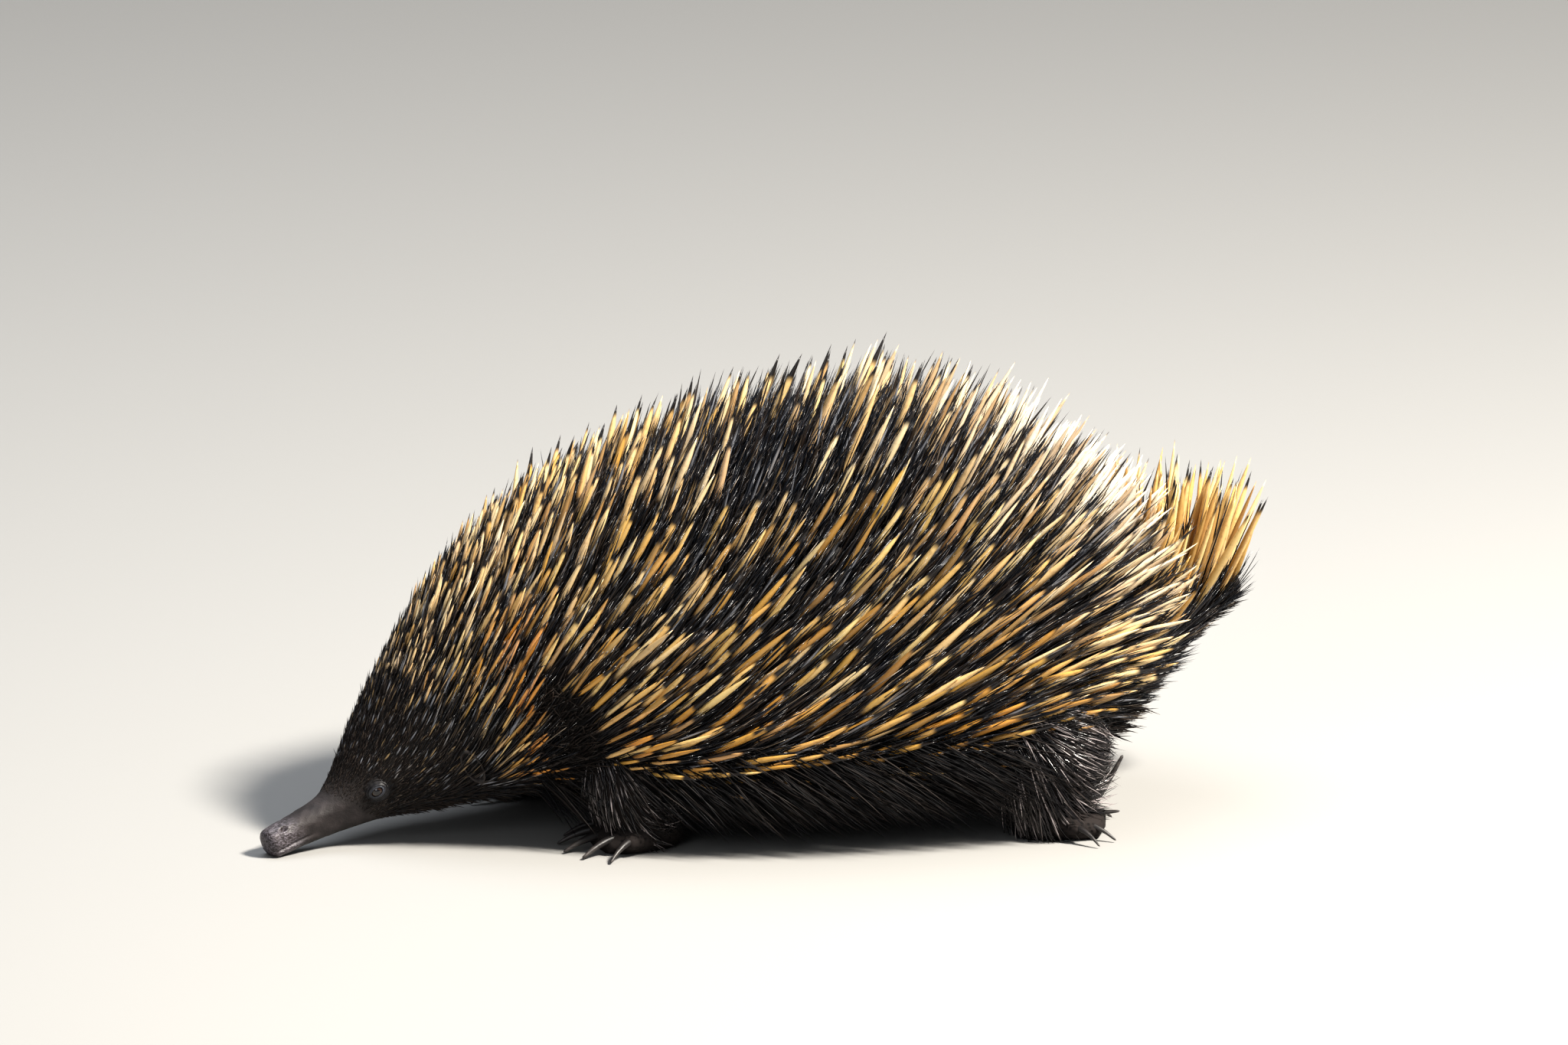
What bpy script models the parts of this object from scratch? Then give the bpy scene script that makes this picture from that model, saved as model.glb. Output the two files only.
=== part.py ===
"""A short-beaked echidna at life size, walking with its beak to the ground.

The animal faces -X and its left side faces -Y. The floor is z = 0 and the origin is on the floor, under the
middle of the whole animal. Sizes are millimetres at the top of the file and metres in every object.
"""

import math

import bmesh
import bpy
import numpy as np
from mathutils import Matrix, Vector
from mathutils.bvhtree import BVHTree

MM = 0.001
GAP = 0.3 * MM  # clearance that neighbouring pieces keep

# The bare body from beak to tail, in millimetres: the middle of each girth as x, y, z, then how far the
# body reaches above, below and to either side of that middle, square to the line through the middles, and
# the length of the spines there.
GIRTHS = {
    "beak tip": (-225, -27.0, 6.2, 6.1, 6.9, 6.3, 0),
    "beak middle": (-211, -22.0, 12.0, 5.6, 8.8, 7.2, 0),
    "beak root": (-197, -17.0, 17.5, 6.5, 11.2, 9.2, 0),
    "eyes": (-181, -11.5, 24.5, 16.0, 14.5, 17.5, 5),
    "skull": (-164, -7.0, 34.5, 26.5, 23.5, 28.0, 12),
    "ears": (-144, -3.5, 48.0, 36.0, 35.0, 39.0, 18),
    "nape": (-119, -1.0, 62.0, 48.5, 45.0, 51.0, 24),
    "shoulders": (-84, 0.0, 75.0, 59.0, 58.0, 66.0, 34),
    "ribs": (-38, 0.0, 82.0, 69.0, 69.0, 77.0, 41),
    "middle": (12, 0.0, 84.5, 76.0, 71.0, 82.0, 46),
    "loins": (62, 0.0, 82.0, 73.0, 66.0, 82.0, 49),
    "hips": (108, 0.0, 74.0, 58.0, 52.0, 73.0, 48),
    "rump": (142, 0.0, 68.0, 41.0, 34.0, 52.0, 47),
    "tail root": (164, 0.0, 70.0, 28.0, 17.0, 28.0, 54),
    "tail middle": (187, 0.0, 79.5, 18.0, 11.0, 15.0, 57),
    "tail tip": (211, 0.0, 89.0, 7.5, 6.5, 7.0, 51),
}
SIDE_FULLNESS = 0.86  # under 1 squares the section's sides, 1 is an ellipse
LOW_SIDE_FULLNESS = 0.72  # the same below the widest line, where the flank hangs
BELLY_FULLNESS = 0.60
COAT_SHARES = (0.84, 0.06, 0.40)  # how far the coat reaches above, below and beside, as shares of a spine
CORE = 0.25  # the share of the coat's depth, packed with dense underfur, that the solids fill
SEED = 11

# Where the body is parted, as a share of the way from one named girth to the next
BEAK_CUT = ("beak root", "eyes", 0.15)
NECK_CUT = ("ears", "nape", 0.45)
SHOULDER_CUT = ("nape", "shoulders", 0.60)
TAIL_CUT = ("rump", "tail root", 0.80)

# Eyes and ears sit on the head at a place along it and a turn from the line of the back, in degrees
EYE_PLACE = ("beak root", "eyes", 0.95)
EYE_TURN = 80
EYE_RADIUS = 3.9
EYE_SINK = 1.9  # the ball's middle lies this far under the skin
LID_RADIUS = 3.9
LID_THICKNESS = 1.25
EAR_PLACE = ("skull", "ears", 0.80)
EAR_TURN = 96
EAR_SIZE = (4.0, 9.0, 3.6)  # half its width, half its height and how far its rim stands off the head
EAR_CUP = 0.72  # the hollow's share of the ear

# The mouth is a slit near the beak's end, with a nostril on either side of its top
MOUTH_LENGTH = 17.0
MOUTH_DEPTH = 0.8
MOUTH_GAPE = 0.7
MOUTH_DROP = 1.6  # below the beak's middle
NOSTRIL_PLACE = 5.0
NOSTRIL_TURN = 38
NOSTRIL_SIZE = (1.5, 0.8)

# Each foot: its side, the middle of its sole as x and y, the way its toes point in degrees from straight
# ahead towards its own side, and the place on the body where its leg begins as x, y and z
FEET = {
    "front_left": ("left", -66, 48, 10, (-74, 36, 50)),
    "front_right": ("right", -94, 60, 6, (-82, 42, 52)),
    "hind_left": ("left", 116, 72, 158, (105, 50, 56)),
    "hind_right": ("right", 90, 72, 142, (82, 45, 56)),
}
ANKLE = 15.0  # height at which leg and foot meet
LEG_THICKNESS = {"front": (20, 21, 17), "hind": (24, 25, 16.5)}  # radius at the body, calf and ankle
# A foot as stations along it: distance from its middle towards the toes, height, half width, half height
FOOT_STATIONS = {
    "front": ((-18, 7.0, 9.0, 9.5), (-4, 8.0, 15.5, 11.5), (10, 5.5, 17.0, 8.5), (18, 4.0, 14.5, 6.0)),
    "hind": ((-19, 8.0, 10.0, 10.5), (-4, 9.0, 16.0, 12.0), (10, 6.0, 15.5, 8.5), (18, 4.5, 12.0, 6.0)),
}
# Claws from the inner to the outer toe: its heading in degrees off the foot's, its length, its half width
# and how high its tip stands
CLAWS = {
    "front": (
        (-34, 16, 2.6, 1.2),
        (-16, 21, 3.1, 1.2),
        (0, 23, 3.3, 1.2),
        (15, 21, 3.1, 1.2),
        (33, 16, 2.6, 1.2),
    ),
    "hind": (
        (40, 12, 2.2, 1.5),
        (18, 15, 3.1, 32.0),
        (0, 14, 2.6, 11.0),
        (-16, 15, 2.2, 1.5),
        (-34, 12, 2.0, 1.5),
    ),
}
CLAW_ROOTS = (4, 22, 6)  # how far ahead of the foot's middle they fan from, the fan's reach, and their height
CLAW_SUNK = 8  # length of a claw that lies inside the foot
CLAW_ARCH = 2.0  # how high a claw's middle bows

# The spines' lie: how many degrees above level they rise as they point back, at six turns from the line of
# the back round to the belly's edge, and how far they splay outward there
SPINE_TURNS = (0, 45, 90, 112, 132, 152)
SPINE_RISE = {
    "eyes": (70, 62, 40, 30, 10, 0),
    "skull": (72, 66, 54, 44, 20, 0),
    "ears": (73, 71, 68, 58, 26, 0),
    "nape": (72, 71, 64, 46, 14, -12),
    "shoulders": (70, 65, 47, 36, 8, -20),
    "ribs": (68, 61, 45, 37, 12, -16),
    "middle": (66, 60, 45, 37, 15, -8),
    "loins": (60, 55, 42, 32, 16, 0),
    "hips": (53, 46, 27, 18, 10, 4),
    "rump": (45, 36, 14, 6, 0, -8),
    "tail root": (84, 80, 66, 36, 20, 10),
    "tail middle": (83, 80, 74, 44, 36, 30),
    "tail tip": (74, 72, 72, 48, 40, 36),
}
SPINE_SPLAY = (0.0, 0.26, 0.38, 0.42, 0.44, 0.44)
SPINE_THICKNESS = 1.9  # radius of a full-grown spine at its thickest
SPINE_BELLY = 0.42  # where it is thickest, as a share of its length
SPINE_LEAST_RISE = 0.30  # sine of the least angle between a spine and the skin
SPINE_JITTER = 6  # degrees
SPINE_LENGTHS = (0.86, 1.08)  # shortest and longest, as shares of the girth's own
SKIRT_SHARE = 0.85  # length of the lowest spines, as a share of the girth's own
SKIRT_TURNS = (90, 150)  # where that share begins to count, and where it counts in full

# Each node's field of spines: their spacing, how far from the line of the back they grow in degrees, and
# how far they keep from the node's cut ends
FIELDS = {
    "torso": (16.6, 148, 2.5),
    "tail": (8.2, 84, 1.5),
    "neck": (12.5, 128, 2.5),
    "head": (12.8, 116, 1.5),
}
# The woolly hollow behind each cheek has no spines: its place, its turn, its half length and half height
HOLLOW_PLACE = ("nape", "shoulders", 0.20)
HOLLOW_TURN = 98
HOLLOW_REACH = (13.0, 24.0)

# Bristly locks on the legs: how many stand round it in each row, the rows' heights, and one lock's length,
# half width and half thickness
LOCKS = {
    "front": (8, (22,), 15, 3.6, 0.9),
    "hind": (8, (21, 33), 18, 4.0, 0.9),
}
LOCK_LIE = (0.55, -0.62, 0.30)  # back, up and outward parts of a lock's way
LOCK_BEND = 0.30  # how far it bows outward, as a share of its length

SPINE_TRIES = 10  # places tried for each spine before it is left out
SPINE_STIR = 0.18  # how far the first tries stray from their even place, as a share of the spacing
SPINE_SHORT = (0.45, 70.0)  # the least share of the full thickness, and the length over which it fills out

LOOKS = {
    "skin": ((0.09, 0.075, 0.07), 0.55),
    "fur": ((0.035, 0.025, 0.02), 0.8),
    "quill": ((0.62, 0.43, 0.17), 0.4),
    "eye": ((0.01, 0.01, 0.012), 0.08),
    "foot": ((0.05, 0.04, 0.035), 0.6),
}


def clear_scene():
    for obj in list(bpy.data.objects):
        bpy.data.objects.remove(obj, do_unlink=True)


def new_collection(name):
    made = bpy.data.collections.new(name)
    bpy.context.scene.collection.children.link(made)
    return made


def material(name, colour, roughness):
    made = bpy.data.materials.new(name)
    made.use_nodes = True
    shader = made.node_tree.nodes["Principled BSDF"]
    shader.inputs["Base Color"].default_value = (*colour, 1.0)
    shader.inputs["Roughness"].default_value = roughness
    shader.inputs["Metallic"].default_value = 0.0
    made.diffuse_color = (*colour, 1.0)
    return made


def smooth_through(knots, values, at):
    """Cubic curve through the values at the knots, its slope at each knot taken from both neighbours."""
    slopes = np.gradient(values, knots, axis=0)
    i = np.clip(np.searchsorted(knots, at, side="right") - 1, 0, len(knots) - 2)
    span = (knots[i + 1] - knots[i])[:, None]
    t = (at[:, None] - knots[i][:, None]) / span
    return (
        values[i] * (1 + 2 * t) * (1 - t) ** 2
        + values[i + 1] * t * t * (3 - 2 * t)
        + slopes[i] * span * t * (1 - t) ** 2
        + slopes[i + 1] * span * t * t * (t - 1)
    )


GIRTH_TABLE = np.array(list(GIRTHS.values()), float) * MM
STEPS = np.linalg.norm(np.diff(GIRTH_TABLE[:, :3], axis=0), axis=1)
PLACES = np.concatenate([[0.0], np.cumsum(STEPS)])  # distance of each girth from the beak tip


def place(first, second, share):
    """Distance from the beak tip of a point between two named girths."""
    names = list(GIRTHS)
    a, b = PLACES[names.index(first)], PLACES[names.index(second)]
    return a + (b - a) * share


# Each node's length of the body: its start and end, and the rings and points round that its skin has
LENGTHS = {
    "beak": (0, place(*BEAK_CUT), 7, 16),
    "head": (place(*BEAK_CUT), place(*NECK_CUT), 10, 26),
    "neck": (place(*NECK_CUT), place(*SHOULDER_CUT), 5, 28),
    "torso": (place(*SHOULDER_CUT), place(*TAIL_CUT), 17, 30),
    "tail": (place(*TAIL_CUT), PLACES[-1], 7, 16),
}


def body_frames(u):
    """At each distance from the beak tip: the middle, the ways back, up and left, and the girth's sizes."""
    u = np.atleast_1d(np.asarray(u, float))
    here = smooth_through(PLACES, GIRTH_TABLE, u)
    ahead = smooth_through(PLACES, GIRTH_TABLE, np.maximum(u - 0.5 * MM, 0))[:, :3]
    behind = smooth_through(PLACES, GIRTH_TABLE, np.minimum(u + 0.5 * MM, PLACES[-1]))[:, :3]
    back = behind - ahead
    back /= np.linalg.norm(back, axis=1)[:, None]
    up = np.array([0, 0, 1.0]) - back * back[:, 2:3]
    up /= np.linalg.norm(up, axis=1)[:, None]
    return here[:, :3], back, up, np.cross(back, up), here[:, 3:]


def signed_power(x, power):
    return np.sign(x) * np.abs(x) ** power


def body_points(u, turn, coat=CORE, grow=0.0):
    """Skin points at distances u and turns, in radians from the line of the back towards the left side.

    Each section is a superellipse: its side reach follows sin(turn) and its height follows cos(turn).
    The coat, from 0 to 1, swells it towards the spines' tips, and grow adds an even thickness."""
    u, turn = np.broadcast_arrays(np.atleast_1d(u), np.atleast_1d(turn))
    middle, _, up, left, sizes = body_frames(u.ravel())
    turn = turn.ravel()
    reach = sizes[:, :3] + coat * np.outer(sizes[:, 3], COAT_SHARES) + grow
    over, side = np.cos(turn), np.sin(turn)
    upper = over > 0
    power = np.where(upper, 1.0, BELLY_FULLNESS)
    rise = np.where(upper, reach[:, 0], reach[:, 1]) * signed_power(over, power)
    out = reach[:, 2] * signed_power(side, np.where(upper, SIDE_FULLNESS, LOW_SIDE_FULLNESS))
    return middle + up * rise[:, None] + left * out[:, None]


def mesh_object(name, mesh, collection, look=None):
    obj = bpy.data.objects.new(name, mesh)
    collection.objects.link(obj)
    if look is not None:
        mesh.materials.append(look)
    return obj


def loft(name, rings, collection, look=None, noses=(None, None)):
    """Closed skin over rings of points (ring, point, xyz), each end filled by a fan to its nose or middle."""
    rings = np.asarray(rings, float)
    count, around = rings.shape[:2]
    ends = [rings[k].mean(axis=0) if nose is None else nose for k, nose in zip((0, -1), noses)]
    points = np.concatenate([rings.reshape(-1, 3), ends])
    i, j = np.meshgrid(np.arange(count - 1), np.arange(around), indexing="ij")
    k = (j + 1) % around
    quads = np.stack([i * around + j, i * around + k, (i + 1) * around + k, (i + 1) * around + j], -1)
    j, k = np.arange(around), (np.arange(around) + 1) % around
    rim, hub = (count - 1) * around, np.full(around, count * around)
    first = np.stack([hub, k, j], -1)
    last = np.stack([hub + 1, rim + j, rim + k], -1)
    mesh = bpy.data.meshes.new(name)
    mesh.from_pydata(points.tolist(), [], quads.reshape(-1, 4).tolist() + first.tolist() + last.tolist())
    face_out(mesh)
    return mesh_object(name, mesh, collection, look)


def face_out(mesh):
    shape = bmesh.new()
    shape.from_mesh(mesh)
    bmesh.ops.recalc_face_normals(shape, faces=shape.faces)
    if shape.calc_volume(signed=True) < 0:
        bmesh.ops.reverse_faces(shape, faces=shape.faces)
    shape.to_mesh(mesh)
    shape.free()
    mesh.update()


def ring(middle, along, over, wide, tall, count):
    """One elliptical ring square to along; over is roughly the way its height runs."""
    along = np.asarray(along, float) / np.linalg.norm(along)
    side = np.cross(along, over)
    side /= np.linalg.norm(side)
    over = np.cross(side, along)
    a = np.arange(count) * 2 * math.pi / count
    return (
        np.asarray(middle, float)
        + np.outer(wide * np.sin(a), side)
        + np.outer(tall * np.cos(a), over)
    )


def limb(name, stops, around, collection, look=None, over=(0, 0, 1), steps=2, nose=0.0):
    """Round-ended piece through stops of (x, y, z, half width, half height), in metres."""
    stops = np.array(stops, float)
    knots = np.concatenate([[0.0], np.cumsum(np.linalg.norm(np.diff(stops[:, :3], axis=0), axis=1))])
    between = [np.linspace(a, b, steps, endpoint=False) for a, b in zip(knots, knots[1:])]
    at = np.concatenate([*between, knots[-1:]])
    rows = smooth_through(knots, stops, at)
    ways = np.gradient(rows[:, :3], at, axis=0)
    rings = [ring(r[:3], w, over, r[3], r[4], around) for r, w in zip(rows, ways)]
    tips = [None, rows[-1, :3] + ways[-1] / np.linalg.norm(ways[-1]) * nose]
    return loft(name, rings, collection, look, tips)


def bool_with(obj, operation, others):
    """Joins or cuts obj by every object of a collection, and removes them."""
    step = obj.modifiers.new(operation, "BOOLEAN")
    step.operation = operation
    step.operand_type = "COLLECTION"
    step.collection = others
    step.solver = "EXACT"
    bpy.context.view_layer.update()
    graph = bpy.context.evaluated_depsgraph_get()
    made = bpy.data.meshes.new_from_object(obj.evaluated_get(graph))
    obj.modifiers.remove(step)
    obj.data = made
    for other in list(others.objects):
        bpy.data.objects.remove(other, do_unlink=True)
    bpy.data.collections.remove(others)
    keep_largest(obj)


def keep_largest(obj):
    """Leaves only the closed surface with the most volume."""
    shape = bmesh.new()
    shape.from_mesh(obj.data)
    bmesh.ops.triangulate(shape, faces=shape.faces)
    left, groups = set(shape.verts), []
    while left:
        group = set()
        edge = {left.pop()}
        while edge:
            group |= edge
            edge = {e.other_vert(v) for v in edge for e in v.link_edges} - group
        left -= group
        groups.append(group)
    best = max(groups, key=bulk)
    bmesh.ops.delete(shape, geom=[v for g in groups if g is not best for v in g], context="VERTS")
    shape.to_mesh(obj.data)
    shape.free()
    obj.data.update()


def bulk(vertices):
    """Volume inside the triangles that these vertices carry."""
    faces = {f for v in vertices for f in v.link_faces}
    corners = ([v.co for v in f.verts] for f in faces)
    return abs(sum(a.dot(b.cross(c)) for a, b, c in corners)) / 6


def cut_level(obj, height, keep_above):
    """Cuts the mesh flat at a height and closes it there."""
    shape = bmesh.new()
    shape.from_mesh(obj.data)
    bmesh.ops.bisect_plane(
        shape,
        geom=shape.verts[:] + shape.edges[:] + shape.faces[:],
        plane_co=(0, 0, height),
        plane_no=(0, 0, 1),
        clear_inner=keep_above,
        clear_outer=not keep_above,
    )
    bmesh.ops.holes_fill(shape, edges=[e for e in shape.edges if e.is_boundary])
    bmesh.ops.triangulate(shape, faces=[f for f in shape.faces if len(f.verts) > 4])
    shape.to_mesh(obj.data)
    shape.free()
    face_out(obj.data)


def body_length(name, node, collection, look=None, grow=0.0, nose=0.0):
    """The length of the body that a node holds, cut flat unless it ends the body there."""
    start, end, rows, around = LENGTHS[node]
    first, last = start <= 0, end >= PLACES[-1]
    u = np.linspace(start + (0 if first else GAP / 2), end - (0 if last else GAP / 2), rows)
    turn = np.arange(around) * 2 * math.pi / around
    rings = body_points(u[:, None], turn[None, :], grow=grow).reshape(rows, around, 3)
    middle, back, _, _, _ = body_frames(u[[0, -1]])
    noses = (middle[0] - back[0] * nose if first else None, middle[1] + back[1] * nose if last else None)
    return loft(name, rings, collection, look, noses)


def surface_frame(u, turn):
    """Point, outward normal and way back along the body, at a distance and a turn in radians."""
    step, swing = 0.5 * MM, 0.01
    here, on, by = body_points([u, u + step, u], [turn, turn, turn + swing])
    back = (on - here) / np.linalg.norm(on - here)
    out = np.cross(by - here, back)
    return here, out / np.linalg.norm(out), back


SIDES = {"left": 1, "right": -1}  # the sign of a turn towards each side


def side_frame(spot, turn, side):
    """The surface at a named place and a turn in degrees towards one side; the last way runs up the body."""
    here, out, back = surface_frame(place(*spot), SIDES[side] * math.radians(turn))
    over = np.cross(back, out) * SIDES[side]
    return here, out, back, over


def placing(here, columns, sizes=(1, 1, 1)):
    """Matrix that puts a shape at here, with its own axes along the three columns and scaled by the sizes."""
    made = np.eye(4)
    made[:3, :3] = np.array(columns).T * np.array(sizes)
    made[:3, 3] = here
    return Matrix(made.tolist())


def finished(name, shape, collection, look=None):
    """Makes an object of a bmesh and frees it."""
    mesh = bpy.data.meshes.new(name)
    shape.to_mesh(mesh)
    shape.free()
    face_out(mesh)
    return mesh_object(name, mesh, collection, look)


def ball(name, here, columns, sizes, collection, look=None, around=12, rows=8):
    """Ellipsoid with its half sizes, in metres, along the three columns."""
    shape = bmesh.new()
    where = placing(here, columns, sizes)
    bmesh.ops.create_uvsphere(shape, u_segments=around, v_segments=rows, radius=1.0, matrix=where)
    return finished(name, shape, collection, look)


def hoop(name, here, columns, radius, thick, collection, around=12, sides=5):
    """A ring of round stock that lies square to the last column."""
    shape = bmesh.new()
    upright = Matrix.Translation((radius, 0, 0)) @ Matrix.Rotation(math.pi / 2, 4, "X")
    bmesh.ops.create_circle(shape, segments=sides, radius=thick, matrix=upright)
    section = shape.verts[:] + shape.edges[:]
    full = {"axis": (0, 0, 1), "cent": (0, 0, 0), "angle": 2 * math.pi, "steps": around, "use_merge": True}
    bmesh.ops.spin(shape, geom=section, **full)
    bmesh.ops.remove_doubles(shape, verts=shape.verts, dist=1e-6)
    bmesh.ops.transform(shape, matrix=placing(here, columns), verts=shape.verts)
    return finished(name, shape, collection)


def make_head(echidna, looks):
    """The head with raised lids round each eye's socket, its two eyes and its two ears."""
    head = body_length("head", "head", echidna, looks["fur"])
    lids, sockets = new_collection("lids"), new_collection("sockets")
    for side in SIDES:
        here, out, back, over = side_frame(EYE_PLACE, EYE_TURN, side)
        hoop("lid", here, (back, over, out), LID_RADIUS * MM, LID_THICKNESS * MM, lids)
        middle = here - out * EYE_SINK * MM
        ball("socket", middle, (back, over, out), [EYE_RADIUS * MM + 1.4 * GAP] * 3, sockets)
        ball(f"eye_{side}", middle, (back, over, out), [EYE_RADIUS * MM] * 3, echidna, looks["eye"])
    bool_with(head, "UNION", lids)
    bool_with(head, "DIFFERENCE", sockets)
    for side in SIDES:
        make_ear(side, echidna, looks)


def make_ear(side, echidna, looks):
    """A low cup, open outward, that sits on the side of the head."""
    here, out, back, over = side_frame(EAR_PLACE, EAR_TURN, side)
    wide, tall, stand = (size * MM for size in EAR_SIZE)
    ear = ball(f"ear_{side}", here, (back, over, out), (wide, tall, stand), echidna, looks["skin"])
    cutters = new_collection("ear cutters")
    hollow = (wide * EAR_CUP, tall * EAR_CUP, stand * EAR_CUP)
    ball("hollow", here + out * stand * 0.75, (back, over, out), hollow, cutters)
    body_length("skin", "head", cutters, grow=GAP)
    bool_with(ear, "DIFFERENCE", cutters)


def make_beak(echidna, looks):
    """The naked beak, with the mouth's slit round its end and two nostrils on top."""
    beak = body_length("beak", "beak", echidna, looks["skin"], nose=3.5 * MM)
    _, back, up, left, _ = (v[0] for v in body_frames(NOSTRIL_PLACE * MM))
    cutters = new_collection("beak cutters")
    for side in SIDES.values():
        here = body_points(NOSTRIL_PLACE * MM, side * math.radians(NOSTRIL_TURN))[0]
        long, wide = (size * MM for size in NOSTRIL_SIZE)
        ball("nostril", here, (back, left, up), (long, wide, wide), cutters, None, 8, 6)
        mouth_side(side, cutters)
    bool_with(beak, "DIFFERENCE", cutters)
    cut_level(beak, 0.0, True)


def mouth_side(side, cutters):
    """The slit along one side of the beak's end, as deep as the mouth line."""
    rings = []
    for u in np.linspace(0.4, 1, 7) * MOUTH_LENGTH * MM:
        middle, _, up, left, reach = (v[0] for v in body_frames(u))
        edge = middle + left * side * reach[2] - up * MOUTH_DROP * MM
        inner = edge - left * side * MOUTH_DEPTH * MM
        outer = edge + left * side * MM
        lift = up * MOUTH_GAPE * MM / 2
        rings.append([inner - lift, outer - lift, outer + lift, inner + lift])
    loft("mouth", rings, cutters)


def heading(side, degrees):
    """Level unit way, in degrees from straight ahead towards one side of the animal."""
    a = math.radians(degrees)
    return np.array([-math.cos(a), -SIDES[side] * math.sin(a), 0.0])


def make_foot(name, echidna, looks):
    """A broad foot with its claws, flat where it stands and where the leg meets it."""
    side, x, y, turn, _ = FEET[name]
    kind = name.split("_")[0]
    middle = np.array([x, -SIDES[side] * y, 0.0]) * MM
    ahead = heading(side, turn)
    stations = np.array(FOOT_STATIONS[kind]) * MM
    stops = [(*(middle + ahead * at + (0, 0, high)), wide, tall) for at, high, wide, tall in stations]
    foot = limb(f"foot_{name}", stops, 12, echidna, looks["foot"], nose=2 * MM)
    cut_level(foot, 0.0, True)
    cut_level(foot, ANKLE * MM, False)
    claws = new_collection("claws")
    start, fan, low = (size * MM for size in CLAW_ROOTS)
    for spread, length, wide, tip in CLAWS[kind]:
        way = heading(side, turn + spread)
        root = middle + ahead * start + (way - ahead * ahead.dot(way)) * fan + (0, 0, low)
        reach, rise = (CLAW_SUNK + length) * MM, tip * MM - low
        stops = []
        for share in (0.0, 0.5, 1.0):
            bow = CLAW_ARCH * MM * 4 * share * (1 - share)
            at = root + way * share * reach + (0, 0, bow + rise * share**2)
            stops.append((*at, wide * (1 - 0.75 * share) * MM, wide * (0.8 - 0.55 * share) * MM))
        limb("claw", stops, 5, claws, steps=1, nose=1 * MM)
    bool_with(foot, "UNION", claws)


def make_leg(name, echidna, looks):
    """A short leg from the body's side down to the ankle, cut to meet the body and the foot."""
    side, x, y, turn, (bx, by, bz) = FEET[name]
    kind = name.split("_")[0]
    thick, calf, thin = LEG_THICKNESS[kind]
    foot = np.array([x, -SIDES[side] * y, 0.0])
    hip = np.array([bx, -SIDES[side] * by, bz])
    knee = (foot * 0.5 + hip * 0.5) + (0, -SIDES[side] * 5, 4)
    ankle = foot - heading(side, turn) * 4
    stops = [(*hip, thick, thick), (*knee, calf, calf), (*ankle, thin, thin)]
    leg = limb(f"leg_{name}", np.array(stops) * MM, 14, echidna, looks["fur"], over=(1, 0, 0), steps=3)
    cut_level(leg, ANKLE * MM + GAP, True)
    trunk = new_collection("trunk")
    for node in ("neck", "torso"):
        body_length("trunk", node, trunk, grow=1.3 * GAP)
    bool_with(leg, "DIFFERENCE", trunk)


def spine_way(u, turn, out):
    """Unit way that a spine points at distances u and turns, never nearer the skin than its least rise."""
    first = list(GIRTHS).index(next(iter(SPINE_RISE)))
    rises = np.array(list(SPINE_RISE.values()), float)
    by_turn = [np.interp(u, PLACES[first:], column) for column in rises.T]
    degrees = abs(math.degrees(turn))
    rise = math.radians(np.interp(degrees, SPINE_TURNS, by_turn))
    splay = np.interp(degrees, SPINE_TURNS, SPINE_SPLAY)
    level = math.sqrt(1 - splay**2)
    way = np.array([math.cos(rise) * level, -math.copysign(splay, turn), math.sin(rise) * level])
    way += out * max(0.0, SPINE_LEAST_RISE - way.dot(out))
    return way / np.linalg.norm(way)


def nudged(way, draw, degrees):
    """The way turned by a random angle of about so many degrees."""
    way = way + draw.normal(size=3) * math.tan(math.radians(degrees)) / math.sqrt(2)
    return way / np.linalg.norm(way)


def field_spots(node):
    """Distances and turns over a node's field, evenly spread in staggered rows."""
    spacing, widest, margin = FIELDS[node]
    start, end, _, _ = LENGTHS[node]
    rows = max(2, round((end - start) / (spacing * MM * 0.87)))
    for row, u in enumerate(np.linspace(start + margin * MM, end - margin * MM, rows)):
        turns = np.radians(np.linspace(-widest, widest, 181))
        line = body_points(np.full(181, u), turns)
        along = np.concatenate([[0.0], np.cumsum(np.linalg.norm(np.diff(line, axis=0), axis=1))])
        count = max(2, round(along[-1] / (spacing * MM)))
        for place_along in (np.arange(count) + 0.25 + 0.5 * (row % 2)) / count * along[-1]:
            yield u, float(np.interp(place_along, along, turns))


def in_hollow(u, turn):
    """Whether a spot lies in the woolly hollow behind the cheek."""
    centre, swing = place(*HOLLOW_PLACE), math.radians(HOLLOW_TURN)
    here, there = body_points([u, centre], [abs(turn), swing])
    long = (u - centre) / (HOLLOW_REACH[0] * MM)
    tall = (here - there)[2] / (HOLLOW_REACH[1] * MM)
    return long**2 + tall**2 < 1


def segment_distances(start, end, starts, ends):
    """Least distance between one line segment and each of many."""
    one, many, apart = end - start, ends - starts, start - starts
    a, e, b = one.dot(one), (many * many).sum(1), many @ one
    c, f = apart @ one, (many * apart).sum(1)
    spread = a * e - b * b
    s = np.clip(np.where(spread > 1e-12 * a * e, (b * f - c * e) / np.maximum(spread, 1e-18), 0.0), 0, 1)
    t = (b * s + f) / e
    s = np.where(t < 0, np.clip(-c / a, 0, 1), np.where(t > 1, np.clip((b - c) / a, 0, 1), s))
    t = np.clip(t, 0, 1)
    gaps = apart + np.outer(s, one) - many * t[:, None]
    return np.linalg.norm(gaps, axis=1)


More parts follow.
